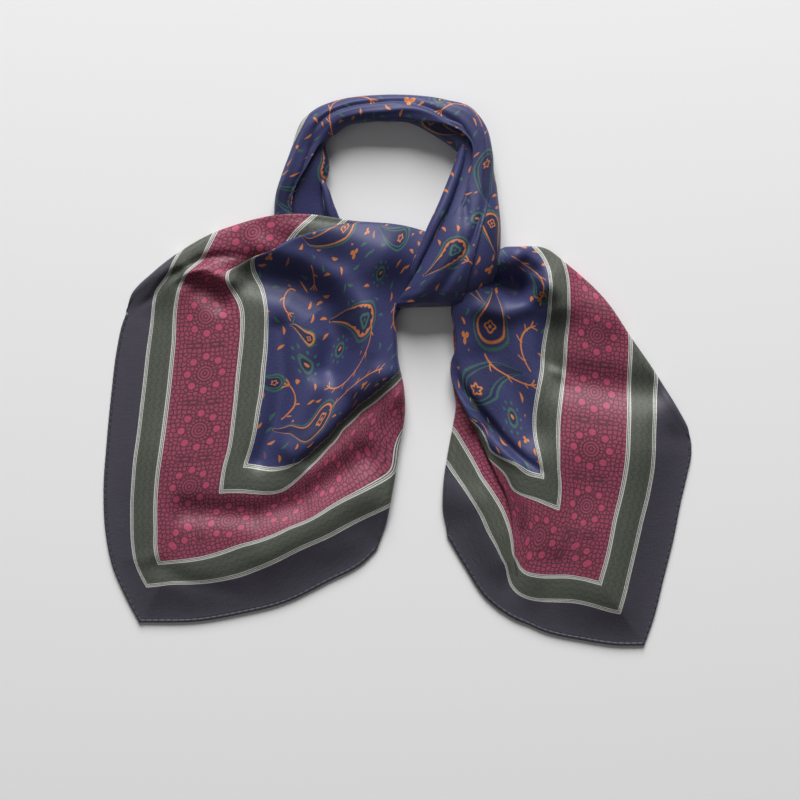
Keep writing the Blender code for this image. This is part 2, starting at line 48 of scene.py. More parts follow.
HEM_RISE = 34.0          # the cloth rises over this distance from a hem
HEM_STEP = 0.8           # distance between the rings of a hem roll
HEM_SIDES = 12
STITCH_PITCH = 4.0
STITCH_DEPTH = 0.2       # share of the hem's radius that a stitch draws in
EDGE_HEIGHT = 2.0        # height of the cloth at a hem
BODY_HEIGHT = 5.0        # how much higher it lies inside, before its folds
TROUGH_SOFTNESS = 2.0    # the deepest troughs stop this softly above the floor
CREASE_STEPS = 24
FOLD_RADIUS = 3.4        # a turned edge reaches this far past the place where its turn starts
FULL_TURN = 6.0          # an edge with this much turn is turned right under
FOLD_STEPS = 9           # rows of points round a turned edge
LIP_STEPS = 2            # the last of them, which run back under
LIP = 9.0                # how far a turned edge runs back under
PLEAT_DEPTH = 10.0       # how far the cloth runs back under in the long pleat of each end
PLEAT_DROP = 3.0         # the pleat's lower layer lies this much lower
PLEAT_BULGE = 1.5        # reach of the pleat's round edges
PLEAT_LAG = 0.3          # the pleat deepens when this share of its drop is made
SPREAD_UNIT = 100.0      # marked places are taken in this unit
SPREAD_EASE = 0.002      # a small ease, so that the field needn't pass through each mark exactly
SAME_CORNER = 0.04       # corners of an end's mesh nearer than this become one
SHORT_EDGE = 0.02
SAME_SEAM = 0.01         # the same, for the seam of a tube
UP = np.array([0.0, 0.0, 1.0])

# Outlines in millimetres. turn is how far the cloth is turned under there, rest how high it lies.
#                  x     y  turn rest
LEFT_SIDE_HEM = [(-158, -154), (-166, -139), (-175, -118), (-179, -97), (-180, -72), (-178, -42),
                 (-175, -11), (-172, 13), (-168, 31), (-166, 36)]
LEFT_LOWER_HEM = [(-158, -154), (-120, -153), (-97, -149), (-69, -142), (-42, -129), (-20, -117),
                  (-12, -109)]
LEFT_RIGHT_FOLD = [(-12, -109, 0, 0), (-8, -96, 3, 0), (-5, -82, 8, 0), (-2, -66, 12, 0),
                   (2, -42, 12, 0), (5, -21, 12, 0), (4, -8, 12, 0), (1, 6, 12, 0),
                   (0, 20, 12, 0), (0, 34, 8, 0), (4, 40, 0, 0), (8, 46, 0, 0),
                   (16, 61, 0, 0), (21, 74, 0, 0), (25, 83, 0, 0)]
LEFT_SEAM = [(-166, 36), (-155, 42), (-145, 47.5), (-130, 54.8), (-117, 59), (-102, 62), (-88, 69.4),
             (-74, 74.3), (-67, 78.6), (-47, 85.9), (-37, 88.8), (-28, 90.5), (-16, 91), (-6, 90.5),
             (8, 88.5), (17, 86), (25, 83)]
LEFT_STRIP_START = [(-166, 36), (-166, 36.05)]       # the left strip runs out to a point here
LEFT_STRIP_OUTER = [(-166, 36, 0, 0), (-163, 47, 2, 0), (-149, 61, 9, 0), (-135, 72, 10, 0),
                    (-110, 86, 10, 0), (-89, 93, 10, 0), (-78, 95, 10, 12), (-54, 96, 10, 13),
                    (-38, 94, 9, 13), (-28, 92.2, 9, 12), (-16, 91.5, 10, 5), (-6, 91, 10, 0),
                    (8, 88.8, 10, 0), (17, 86, 4, 4), (25, 83, 0, 8)]
RIGHT_SIDE_HEM = [(152, -168), (158, -151), (164, -127), (170, -103), (175, -78), (178.5, -63),
                  (181, -51), (181, -43)]
RIGHT_LOWER_HEM = [(152, -168), (136, -168), (115, -165), (89, -159), (80, -155)]
RIGHT_STRIP_HEM = [(80, -155), (73, -152), (55, -139), (41, -118), (31, -101)]
RIGHT_TOP_FOLD = [(181, -43, 0, 0), (178, -34, 3, 0), (173, -26, 6, 0), (166, -14, 10, 0),
                  (158, -1, 12, 0), (143, 21, 12, 0), (125, 47, 12, 0), (102, 68, 12, 0),
                  (91, 76, 12, 0), (76, 76.5, 10, 0), (66, 76, 6, 0), (59, 73, 0, 0)]
RIGHT_SEAM = [(80, -155), (78.4, -145), (75.5, -133), (73, -118), (71.7, -103), (70, -87), (66, -73),
              (61, -63), (53, -46), (48, -35), (42, -24), (37, -14), (33.5, -5), (33, 5), (36, 14),
              (35, 26), (33, 37), (34, 44), (42, 49), (52, 58), (59, 73)]
RIGHT_STRIP_OUTER = [(31, -101, 0, 0), (30, -92, 2, 0), (29.5, -78, 6, 0), (30, -66, 10, 0),
                     (32, -50, 10, 0), (34, -38, 10, 0), (36, -28, 10, 0), (37.5, -18, 10, 0),
                     (36, -5, 10, 0), (35, 5, 10, 0), (38, 14, 10, 0), (37, 26, 6, 0),
                     (35.5, 37, 0, 0), (37, 44, 0, 0), (44, 49, 0, 0), (53, 58, 0, 0),
                     (60, 72.5, 0, 0)]

# The pleat of each end: shares of the seam where it starts and where it is whole.
LEFT_PLEAT = (0.17, 0.42)
RIGHT_PLEAT = (0.10, 0.36)

# Where the navy cloth of the left end bulges over its inner printed line and hides it.
LEFT_OVERHANG = [(-66, -58), (-55, -51), (-40.6, -38.6), (-32.9, -29.6), (-25.3, -22.4), (-17.7, -16),
                 (-10, -9.4), (-3, -3.5), (3, 2)]
OVERHANG_SLIP = 12.0     # the overhang hides this much of the cloth
OVERHANG_START = 95.4    # the hidden stretch starts this far from the lower hem
OVERHANG_SOFT = 1.4      # the cloth goes out of sight over this length
OVERHANG_FADES = ((-66, -52), (40, 20))  # x where the overhang starts and where it is whole

# Mounds and troughs of the cloth: each a soft ridge along a line, with its width and height.
LEFT_RELIEF = [
    ("body of the end", [(-105, -60), (-60, 0)], 62, 4.0),
    ("over the strand", [(-66, 90), (-10, 76)], 16, 11.0),
    ("root", [(2, 70), (24, 64)], 18, 6.0),
    ("right ridge", [(-18, 58), (-14, 34), (-6, 6), (0, -8)], 14, 7.5),
    ("bowl edge", [(-84, 76), (-58, 69), (-34, 57), (-22, 38), (-20, 12), (-26, -8)], 7.5, 5.0),
    ("bowl", [(-88, 58), (-62, 52), (-44, 40), (-37, 22), (-42, 2)], 8.5, -7.5),
    ("upper strip", [(-140, 58), (-90, 84)], 18, 3.5),
    ("brow", [(-127, 61), (-114, 61), (-101, 55)], 4.5, 5.0),
    ("dimple", [(-119, 51), (-108, 43)], 6, -5.0),
    ("side streak", [(-72, 26), (-70, -6), (-74, -32), (-84, -54)], 6.5, -4.4),
    ("lit fold", [(-48, -8), (-58, -28), (-68, -44)], 7, 2.6),
    ("puff over the band", [(-62, -50), (-46, -37), (-32, -20), (-12, -3)], 8, 4.2),
    ("band step", [(-54, -55), (-38, -42.5), (-30, -33.5), (-22, -26), (-7, -14), (4, -5)], 4, -3.2),
    ("lower trough", [(-20, -52), (-60, -80), (-85, -87), (-128, -85)], 8, -4.6),
    ("lower swell", [(-20, -75), (-80, -110)], 13, 2.6),
    ("hem streak", [(-146, -119), (-124, -130), (-100, -137)], 6, -1.6),
    ("corner fall", [(-40, -112), (-18, -106)], 9, 1.8),
    ("side wave", [(-172, -60), (-150, -50)], 16, 1.4),
]
RIGHT_RELIEF = [
    ("body of the end", [(105, -50), (130, -60)], 58, 4.5),
    ("root", [(38, 44), (60, 64)], 18, 9.0),
    ("top rim", [(76, 70), (94, 58), (97, 40)], 9, 9.0),
    ("hollow", [(64, 55), (72, 52)], 7, -12.0),
    ("upper pit", [(79, 66), (84, 62)], 4.5, -5.0),
    ("hollow lip", [(52, 38), (66, 35), (80, 40), (88, 52)], 6, 4.5),
    ("navy swell", [(44, 14), (52, -12)], 15, 3.5),
    ("navy fall", [(58, 8), (70, -12), (84, -36)], 12, -6.0),
    ("band shade", [(93, 40), (93, 6)], 7, -6.0),
    ("outer ridge", [(104, 46), (128, 34)], 13, 4.0),
    ("outer trough", [(104, -4), (130, -9), (158, -12)], 11, -5.4),
    ("outer swell", [(104, -44), (150, -46)], 20, 2.4),
    ("strip trough", [(52, -38), (64, -70), (73, -98), (73, -118), (67, -134)], 7, -4.4),
    ("lower swell", [(48, -84), (58, -118)], 12, 3.0),
    ("hem trough", [(96, -118), (95, -160)], 9, -2.0),
    ("corner swell", [(120, -100), (134, -140)], 16, 2.2),
]

# Creases: a bent line, the width of its trough and its depth, which fades at both ends.
LEFT_CREASES = [
    ([(-167, 35), (-156, 41), (-149, 46), (-144, 53), (-138, 59), (-129, 63), (-120, 68.5),
      (-112, 70.5), (-92, 71)], 2.4, -4.2),
    ([(-134, 52), (-125, 56), (-114, 60)], 2.5, -2.0),
    ([(-62, -57), (-54, -51.5), (-39.6, -39.8), (-32, -30.8), (-24.3, -23.6), (-16.7, -17.2),
      (-9, -10.6), (3, 0)], 2.0, -3.4),
    ([(-168, -112), (-158, -116), (-146, -112)], 4.0, 1.2),
]
RIGHT_CREASES = [
    ([(34.5, 9), (37, -4), (45, -17), (57, -31), (66, -42), (75, -51), (89, -61)], 2.4, -4.6),
    ([(38, -16), (46, -29), (56, -42), (68, -53), (80, -60)], 3.2, 2.4),
    ([(86, 5), (95, 1), (106, -6)], 3.0, 1.8),
    ([(168, -30), (176, -42), (178, -60)], 3.0, 1.6),
]

# The printed lines, by their distance from the hem: first along the side hem, then along the
# lower hem, both starting at the line's own corner.
LEFT_LINES = {
    0: (LEFT_SIDE_HEM, LEFT_LOWER_HEM),
    25: ([(-153, -131), (-160, -116), (-162, -100), (-162, -81), (-160, -54), (-156, -23),
          (-152, 13), (-149, 38), (-147.3, 49), (-143.7, 53.6), (-138.8, 59.7), (-134.5, 69.4),
          (-131.5, 75)],
         [(-153, -131), (-138, -129), (-114, -128), (-95, -124), (-71, -114), (-41, -100),
          (-22, -90), (-6, -82.5)]),
    41: ([(-145, -117), (-147, -97), (-147, -78), (-144, -51), (-139, -11), (-136, 19), (-134, 44),
          (-132, 53), (-128.4, 61.5), (-124, 66), (-119.3, 69), (-115, 74), (-110.7, 85)],
         [(-145, -117), (-135, -116), (-120, -114), (-95, -106), (-65, -95), (-41, -83), (-22, -73),
          (-2, -61)]),
    82: ([(-107, -73), (-102, -48), (-98, -17), (-95, 13), (-94, 35), (-95.5, 42), (-100, 50),
          (-103.4, 57), (-103, 61)],
         [(-107, -73), (-92, -73), (-77, -74), (-70, -72.7), (-61, -66), (-53, -58), (-41.5, -45.8),
          (-32.9, -34.6), (-21.7, -23.8), (-7, -12.8), (-0.9, -8), (3, -3)]),
    97: ([(-92.4, -57), (-89.4, -48), (-84.5, -23), (-81.4, 1), (-79.6, 25.5), (-80, 41), (-83, 53),
          (-87.5, 62), (-88, 69)],
         [(-92.4, -57), (-82, -58.7), (-71, -58.7), (-66, -58)] + LEFT_OVERHANG[1:]),
}
# More marks of the ends' main cloth and of their strips.
#                   x    y    a    b     (a from the side hem, b from the lower hem)
LEFT_MAIN_MARKS = [(-50, -20, 128, 128), (-20, 20, 166, 150), (-40, 50, 146, 190)]
LEFT_STRIP_MARKS = [(-139, 60, 25, 224), (-131.5, 75, 25, 240), (-119, 69, 41, 238),
                    (-111, 85, 41, 256), (-94, 72, 60, 248), (-84, 92, 62, 268), (-66, 78.6, 82, 262),
                    (-59, 87, 82, 273), (-50, 95, 82, 284), (-36, 88.3, 97, 280),
                    (-31, 92.6, 97, 286), (-10, 88, 118, 292), (20, 80, 150, 300)]
RIGHT_LINES = {
    0: (RIGHT_SIDE_HEM, RIGHT_LOWER_HEM + RIGHT_STRIP_HEM[1:]),
    25: ([(136, -147), (140, -133), (147, -103), (153, -78), (156, -61), (157, -40), (158, -18),
          (159, -3)],
         [(136, -147), (123, -143.5), (110, -140.4), (97, -140), (83, -139), (75, -136), (70, -130),
          (68, -118), (63, -107.5), (55, -95), (41, -70), (32, -57)]),
    41: ([(124, -129), (128, -115), (133, -90), (138, -69), (140.6, -51), (142, -23), (142.4, 1),
          (143, 19)],
         [(124, -129), (105, -125), (84.5, -124), (75, -120), (71, -112), (70.5, -103), (67.4, -90),
          (61, -78), (52, -65), (41, -45), (34, -34)]),
    82: ([(98.5, -83), (98.5, -60), (98.5, -35.5), (101, -11), (103.4, 19.4), (104.6, 44), (104, 59),
          (101.6, 68)],
         [(98.5, -83), (83, -77), (70.5, -72)]),
    97: ([(89.4, -63.6), (85, -41.6), (84.5, -24.5), (89, 1), (93, 31.6), (93.6, 50), (92.4, 63),
          (88, 72.5), (84, 75.5)],
         [(89.4, -63.6), (73, -56), (57, -48.3)]),
}
RIGHT_MAIN_MARKS = [(42, -24, 143, 113), (33.5, -5, 152, 127), (34, 14, 151, 144),
                    (60, -20, 124, 124), (60, 20, 122, 160), (50, 60, 140, 195)]
RIGHT_STRIP_MARKS = [(32, -57, 178, 25), (41, -70, 162, 25), (55, -95, 134, 25), (34, -34, 200, 41),
                     (41, -45, 188, 41), (52, -65, 165, 41), (61, -78, 149, 41), (67, -90, 136, 41),
                     (42, -24, 208, 54), (53, -46, 184, 51), (61, -63, 166, 49.5),
                     (66, -73, 155, 48), (70, -87, 140, 45), (37, -14, 218, 58), (33, 5, 238, 66),
                     (36, 26, 258, 72), (34, 44, 276, 78), (52, 58, 290, 80),
                     (31, -101, 150, 0), (41, -118, 130, 0), (55, -139, 105, 0),
                     (71.7, -103, 122, 42), (73, -118, 107, 39.5), (75.5, -133, 92, 30)]

# The loop and the knot's wrap: one rolled sheet. Each station has the two sides of an oval, the
# height of its centre, half its height, and the angles where the sheet begins and ends
# (0 is the inner side, 90 the top and 180 the outer side).
#    outer_x outer_y inner_x inner_y centre half  from   to
WRAP = [
    (-75, 88, -36, 86, 5.5, 5.5, 115, 205),
    (-74, 108, -42, 108, 7.0, 7.0, 112, 205),
    (-70, 121, -38, 125, 8.5, 8.5, 99, 205),
    (-64, 137, -40, 139, 9.0, 9.0, 64, 205),
    (-59, 151, -37, 143, 9.5, 9.5, 28, 205),
    (-50, 160, -30, 149, 9.5, 9.5, 20, 205),
    (-35, 166, -20, 151, 9.5, 9.5, 22, 205),
    (-9, 169, -7, 150, 9.5, 9.5, 44, 205),
    (14, 168.5, 8, 149, 9.5, 9.5, 54, 205),
    (30, 166, 23, 141, 10.0, 10.0, 80, 205),
    (47, 160, 34, 133, 10.0, 10.0, 88, 205),
    (55, 149, 37, 129, 10.0, 10.0, 90, 205),
    (58.5, 135, 35, 123, 10.0, 10.0, 90, 198),
    (59.5, 120, 31, 112, 10.5, 10.8, 85, 172),
    (61.5, 106, 27, 102, 11.5, 12.4, 76, 134),
    (62, 95, 24, 94, 12.5, 14.0, 62, 123),
    (60, 86, 21, 86, 13.0, 15.6, 45, 122),
    (57, 75, 16, 74, 13.0, 16.5, 35, 124),
    (53, 63, 9, 60, 13.0, 16.0, 32, 129),
    (49, 53, 3, 50, 12.0, 14.5, 30, 135),
    (46, 46, -1.5, 43.5, 10.5, 12.0, 30, 140),
    (44.5, 41.5, -3.5, 39.3, 8.0, 8.5, 30, 142),
    (44, 40, -4, 38.3, 5.0, 5.0, 30, 142),
    (43, 41, -3, 40, 3.0, 3.2, 32, 142),
    (41, 47, -1, 47, 2.5, 2.5, 34, 140),
]
# Long soft folds of the wrap: shares of its length where each starts and ends, its angle round the
# roll at either end (0 is the neck side), its width in degrees and its depth.
WRAP_FOLDS = [
    (0.00, 0.24, 122, 78, 10, -2.2),
    (0.04, 0.30, 146, 110, 11, 1.2),
    (0.17, 0.46, 92, 128, 9, -2.2),
    (0.22, 0.52, 64, 96, 10, 1.0),
    (0.40, 0.66, 118, 74, 10, -2.2),
    (0.48, 0.74, 140, 112, 11, 1.2),
    (0.60, 0.84, 62, 96, 9, -1.8),
    (0.70, 1.00, 122, 92, 10, -2.0),
    (0.76, 1.00, 92, 60, 11, 1.1),
]

# The rolled pieces: where each lies in the flat cut, its steps along, and its sides round.
WRAP_CUT = (112.0, 130.0)
ROLLS_CUT = (340.0, 150.0)
RIGHT_INNER_CUT = (500.0, 160.0)
LEFT_INNER_CUT = (540.0, 160.0)
STRIP_CUT = (285.0, 300.0)
WRAP_STEPS = 230
WRAP_SIDES = 42
STRIP_STEPS = 70
STRIP_SIDES = 22
ROLL_STEPS = 130
ROLL_SIDES = 48
SMALL_ROLL_STEPS = 60
SMALL_ROLL_SIDES = 20
WRAP_BAND_PLACE = 0.22   # share of the wrap's length where its grey band comes into sight
WRAP_BAND_LENGTH = 0.08
WRAP_BAND_SHIFT = 30.0
WRAP_CURL = 1.0          # radius of the curled edges
STRIP_CURL = 0.9
CURL_ANGLES = (40, 80, 120, 160)
CURL_LIP = 1.5           # length of each of the last steps, which run straight on
CURL_LIP_STEPS = 2
ROLL_INSET = 3.05        # the rolled layers are this much slimmer on each side than the wrap
ROLL_STATIONS = 18       # the rows of the wrap's table along which the layers run
ROLL_LOWER = 0.88        # the rolled layers lie this much lower than the wrap
ROLL_BOXINESS = 0.8      # below 1 the roll has flatter faces with softer ridges between them

# The strip beside the knot's wrap, in the same columns: it comes out from under the wrap.
OUTER_STRIP = [
    (59.0, 124, 40, 117, 9.5, 8.6, 70, 196),
    (61.0, 114, 40, 110, 10.0, 9.6, 75, 198),
    (62.0, 105, 40, 102, 10.5, 11.0, 80, 200),
    (63.2, 94, 40, 92, 11.0, 12.4, 80, 200),
    (63.6, 84, 39, 82, 11.0, 13.4, 78, 200),
    (63.2, 74, 36, 72, 11.0, 13.4, 75, 200),
    (62.2, 65, 32, 62, 10.5, 12.8, 72, 200),
    (60.0, 57.5, 27, 53, 9.5, 11.4, 68, 200),
    (56.0, 51, 24, 46, 8.0, 9.4, 64, 200),
    (51.5, 46.8, 22, 42, 6.5, 7.0, 62, 200),
    (49.5, 45.2, 22, 41, 4.5, 4.6, 60, 196),
    (48.0, 46.5, 22, 43, 2.8, 3.0, 60, 190),
]

# The thin rolls at the sides of the neck hole.
#                x    y    z   radius
RIGHT_INNER = [(46, 148, 10.5, 1.2), (42.5, 142, 11.6, 1.9), (40.0, 134, 12.4, 2.6),
               (37.2, 124, 13.4, 3.0), (32.8, 112, 16.0, 3.2), (27.6, 99, 19.2, 3.3),
               (22.2, 88, 21.2, 3.1), (16.8, 76, 21.2, 2.8), (11.8, 65, 20.2, 2.3),
               (10.5, 58, 18.0, 1.8), (13.5, 51, 14.5, 1.4)]
LEFT_INNER = [(-46.5, 118, 9.0, 1.0), (-43.4, 111, 9.4, 2.1), (-41.2, 102, 9.2, 3.0),
              (-38.0, 92, 7.4, 3.7), (-36.0, 86, 5.5, 3.7)]

# The hem rolls: the hem's line, and whether the cloth is on its left on the way along it.
HEMS = {
    "left_end_side_hem_roll": (LEFT_SIDE_HEM, False),
    "left_end_lower_hem_roll": (LEFT_LOWER_HEM, True),
    "right_end_side_hem_roll": (RIGHT_SIDE_HEM, True),
    "right_end_lower_hem_roll": (RIGHT_LOWER_HEM + RIGHT_STRIP_HEM[1:], False),
}


def smooth(value):
    value = np.clip(value, 0.0, 1.0)
    return value * value * (3 - 2 * value)


def unit(vectors):
    return vectors / np.maximum(np.linalg.norm(vectors, axis=-1, keepdims=True), 1e-9)


def with_height(spots, heights):
    return np.concatenate([spots, heights[..., None]], axis=-1)


def sideways(points, sign):
    """The unit normals of a row of places, to one side of its direction."""
    along = unit(np.gradient(points, axis=0))
    return sign * np.stack([along[:, 1], -along[:, 0]], axis=-1)


class Path:
    """A smooth curve through the rows of a table, by the share of its length."""

    def __init__(self, rows):
        self.rows = np.array(rows, dtype=float)
        steps = np.linalg.norm(np.diff(self.rows[:, :2], axis=0), axis=1)
        self.marks = np.concatenate([[0.0], np.cumsum(steps)])
        self.length = self.marks[-1]
        self.slopes = np.gradient(self.rows, self.marks, axis=0)

    def at(self, shares):
        place = np.clip(np.asarray(shares, dtype=float), 0, 1) * self.length
        i = np.clip(np.searchsorted(self.marks, place, side="right") - 1, 0, len(self.marks) - 2)
        span = (self.marks[i + 1] - self.marks[i])[..., None]
        t = (place - self.marks[i])[..., None] / span
        curve = (2 * t ** 3 - 3 * t ** 2 + 1) * self.rows[i]
        curve = curve + (t ** 3 - 2 * t ** 2 + t) * span * self.slopes[i]
        curve = curve + (3 * t ** 2 - 2 * t ** 3) * self.rows[i + 1]
        return curve + (t ** 3 - t ** 2) * span * self.slopes[i + 1]


class Patch:
    """A panel between four edges: near and seam run along it, start and end run across it."""

    def __init__(self, start, end, near, seam):
        self.start = Path(start)
        self.end = Path(end)
        self.near = Path(near)
        self.seam = Path(seam)

    def at(self, s, t):
        start = self.start.at(t)[..., :2]
        end = self.end.at(t)[..., :2]
        near = self.near.at(s)[..., :2]
        seam = self.seam.at(s)[..., :2]
        corner = [path.rows[row, :2] for path, row in
                  ((self.near, 0), (self.near, -1), (self.seam, 0), (self.seam, -1))]
        s = np.asarray(s)[..., None]
        t = np.asarray(t)[..., None]
        low = (1 - s) * corner[0] + s * corner[1]
        high = (1 - s) * corner[2] + s * corner[3]
        return (1 - t) * near + t * seam + (1 - s) * start + s * end - (1 - t) * low - t * high


class Spread:
    """A smooth field through marked places: a thin plate bent through the marks."""

    def __init__(self, rows):
        rows = np.array(rows, dtype=float)
        self.places = rows[:, :2] / SPREAD_UNIT
        count = len(rows)
        flat = np.concatenate([np.ones((count, 1)), self.places], axis=1)
        square = np.zeros((count + 3, count + 3))
        square[:count, :count] = self.bend(self.places) + SPREAD_EASE * np.eye(count)
        square[:count, count:] = flat
        square[count:, :count] = flat.T
        wanted = np.concatenate([rows[:, 2:], np.zeros((3, rows.shape[1] - 2))])
        self.weights = np.linalg.solve(square, wanted)

    def bend(self, places):
        away = np.linalg.norm(places[..., None, :] - self.places, axis=-1)
        return away ** 2 * np.log(np.maximum(away, 1e-9))

    def at(self, places):
        places = places / SPREAD_UNIT
        flat = np.concatenate([np.ones(places.shape[:-1] + (1,)), places], axis=-1)
        return np.concatenate([self.bend(places), flat], axis=-1) @ self.weights


def marks_of(lines):
    """The rows (x, y, a, b) of the printed lines: a is the distance from the side hem, b from the lower."""
    rows = []
    for distance, (side, low) in lines.items():
        for points, is_side in ((side, True), (low, False)):
            points = np.array(points, dtype=float)[:, :2]
            steps = np.linalg.norm(np.diff(points, axis=0), axis=1)
            along = distance + np.concatenate([[0], np.cumsum(steps)])
            for i, (x, y) in enumerate(points):
                if i == 0 and not is_side:
                    continue
                a, b = (distance, along[i]) if is_side else (along[i], distance)
                rows.append((x, y, a, b))
    return rows


def distance_to(rows, place):
    points = np.array(rows, dtype=float)[:, :2]
    nearest = np.full(place.shape[:-1], np.inf)
    for start, stop in zip(points[:-1], points[1:]):
        step = stop - start
        t = np.clip(((place - start) @ step) / (step @ step), 0, 1)
        away = np.linalg.norm(place - start - t[..., None] * step, axis=-1)
        nearest = np.minimum(nearest, away)
    return nearest


def relief(table, place):
    total = np.zeros(place.shape[:-1])
    for _, line, width, height in table:
        total += height * np.exp(-(distance_to(line, place) / width) ** 2)
    return total


def creased(table, place):
    """The depth of the creases, each fading towards its two ends."""
    total = np.zeros(place.shape[:-1])
    for rows, width, depth in table:
        line = Path(rows).at(np.linspace(0, 1, CREASE_STEPS + 1))
        for k in range(CREASE_STEPS):
            fade = math.sin(math.pi * (k + 0.5) / CREASE_STEPS) ** 0.6
            away = distance_to(line[k:k + 2], place)
            piece = depth * fade * np.exp(-(away / width) ** 2)
            total = np.where(np.abs(piece) > np.abs(total), piece, total)
    return total


def cloth_height(place, hems, swells, creases):
    """The height of an end's cloth: it rises from its hems, and its troughs stop softly above the floor."""
    hem = np.min([distance_to(rows, place) for rows in hems], axis=0)
    body = BODY_HEIGHT + relief(swells, place) + creased(creases, place)
    body = 0.5 * (body + np.hypot(body, TROUGH_SOFTNESS))
    return EDGE_HEIGHT + body * smooth(hem / HEM_RISE)


def left_height(place):
    return cloth_height(place, (LEFT_SIDE_HEM, LEFT_LOWER_HEM), LEFT_RELIEF, LEFT_CREASES)


def right_height(place):
    hems = (RIGHT_SIDE_HEM, RIGHT_LOWER_HEM, RIGHT_STRIP_HEM)
    return cloth_height(place, hems, RIGHT_RELIEF, RIGHT_CREASES)


def fold_steps(edge, outward, turn, rest):
    """The rows of points round a turned-under edge, from its top round to its lip."""
    made = smooth(turn / FULL_TURN)
    top = edge[:, 2]
    rise = 0.5 * np.maximum(top - rest, 2 * SILK)
    round_steps = FOLD_STEPS - LIP_STEPS
    steps = []
    for step in range(1, FOLD_STEPS + 1):
        angle = math.pi * made * min(step / round_steps, 1.0)
        back = LIP * made * max(step - round_steps, 0) / LIP_STEPS
        reach = FOLD_RADIUS * made * np.sin(angle) - back
        drop = rise * (1 - np.cos(angle)) * np.minimum(made * 4, 1)
        spots = edge[:, :2] + outward * reach[:, None]
        steps.append(with_height(spots, np.maximum(top - drop, SILK)))
    return steps


def pleat_steps():
    """The reach and the drop of each row of a pleat: round, back under the panel, and round again."""
    half = [0.25, 0.5, 0.75, 1.0]
    rows = []
    for share in half:
        fallen = 0.25 * PLEAT_DROP * (1 - math.cos(math.pi * share))
        rows.append((PLEAT_BULGE * math.sin(math.pi * share), fallen))
    for share in (0.35, 0.7, 1.0):
        rows.append((-PLEAT_DEPTH * share, 0.5 * PLEAT_DROP))
    for share in half:
        fallen = 0.5 * PLEAT_DROP + 0.25 * PLEAT_DROP * (1 - math.cos(math.pi * share))
        rows.append((-PLEAT_DEPTH - PLEAT_BULGE * math.sin(math.pi * share), fallen))
    return rows


class EndCloth:
    """The whole cloth of one end: main panel and its end fold, the long pleat, the strip and its fold.

    points has a place for each row and column, and under says how far each is on the strip's side.
    """

    def __init__(self, main, strip_start, strip_outer, height, pleat, columns, rows, strip_rows):
        self.height = height
        self.shares = np.linspace(0, 1, columns + 1)
        self.ramp = smooth((self.shares - pleat[0]) / (pleat[1] - pleat[0]))
        self.deep = smooth((self.ramp - PLEAT_LAG) / (1 - PLEAT_LAG))
        panel = self.panel(main, np.linspace(0, 1, rows + 1))
        edge = panel[-1, :, :2]
        pleated = self.pleated(edge)
        below = np.stack(pleated + self.strip(edge, strip_start, strip_outer, strip_rows))
        empty = np.full((len(below), FOLD_STEPS, 3), np.nan)
        side = main.end.at(np.linspace(0, 1, rows + 1))
        outward = sideways(panel[:, -1, :2], 1)
        fold = np.stack(fold_steps(panel[:, -1], outward, side[:, 2], side[:, 3]), axis=1)
        self.points = np.concatenate([np.concatenate([panel, fold], axis=1),
                                      np.concatenate([below, empty], axis=1)], axis=0)
        past_panel = (np.arange(len(self.points)) - rows) / len(pleated)
        ramp = np.concatenate([self.ramp, np.ones(FOLD_STEPS)])
        self.under = smooth(past_panel)[:, None] * np.minimum(ramp * 1.5, 1)[None, :]

    def panel(self, main, t):
        """The main panel, which leaves room for the hem, the end fold and the pleat's round edge."""
        s = self.shares
        wide = np.linalg.norm(main.at(np.ones_like(t), t) - main.at(np.zeros_like(t), t), axis=-1)
        tall = np.linalg.norm(main.at(s, np.ones_like(s)) - main.at(s, np.zeros_like(s)), axis=-1)
        low_s = HEM_REACH / wide
        high_s = 1 - smooth(main.end.at(t)[:, 2] / FULL_TURN) * FOLD_RADIUS / wide
        low_t = HEM_REACH / tall
        high_t = 1 - self.deep * PLEAT_BULGE / tall
        grid_s = low_s[:, None] + (high_s - low_s)[:, None] * s[None, :]
        grid_t = low_t[None, :] + (high_t - low_t)[None, :] * t[:, None]
        flat = main.at(grid_s, grid_t)
        return with_height(flat, self.height(flat))

    def pleated(self, edge):
        """The rows of the long pleat, from the panel's edge to the edge of the strip below."""
        out = sideways(edge, -1)
        rows = []
        for reach, fallen in pleat_steps():
            spots = edge + out * (reach * self.deep)[:, None]
            rows.append(with_height(spots, self.height(spots) - fallen * self.ramp))
        return rows

    def strip(self, edge, start, outer_rows, count):
        """The strip from the pleat's hidden edge to its outer fold, with that fold."""
        inner = edge - sideways(edge, -1) * (PLEAT_DEPTH * self.deep)[:, None]
        outer = Path(outer_rows).at(self.shares)
        spread = Patch(start, [inner[-1], outer[-1][:2]], inner, outer_rows)
        width = np.maximum(np.linalg.norm(outer[:, :2] - inner, axis=-1), 0.5)
        reach = 1 - np.minimum(smooth(outer[:, 2] / FULL_TURN) * FOLD_RADIUS / width, 0.6)
        rows = []
        for k in range(1, count + 1):
            spots = spread.at(self.shares, reach * k / count)
            heights = np.maximum(self.height(spots) - PLEAT_DROP * self.ramp, 2 * SILK)
            rows.append(with_height(spots, heights))
        last = rows[-1]
        return rows + fold_steps(last, sideways(last[:, :2], -1), outer[:, 2], outer[:, 3])


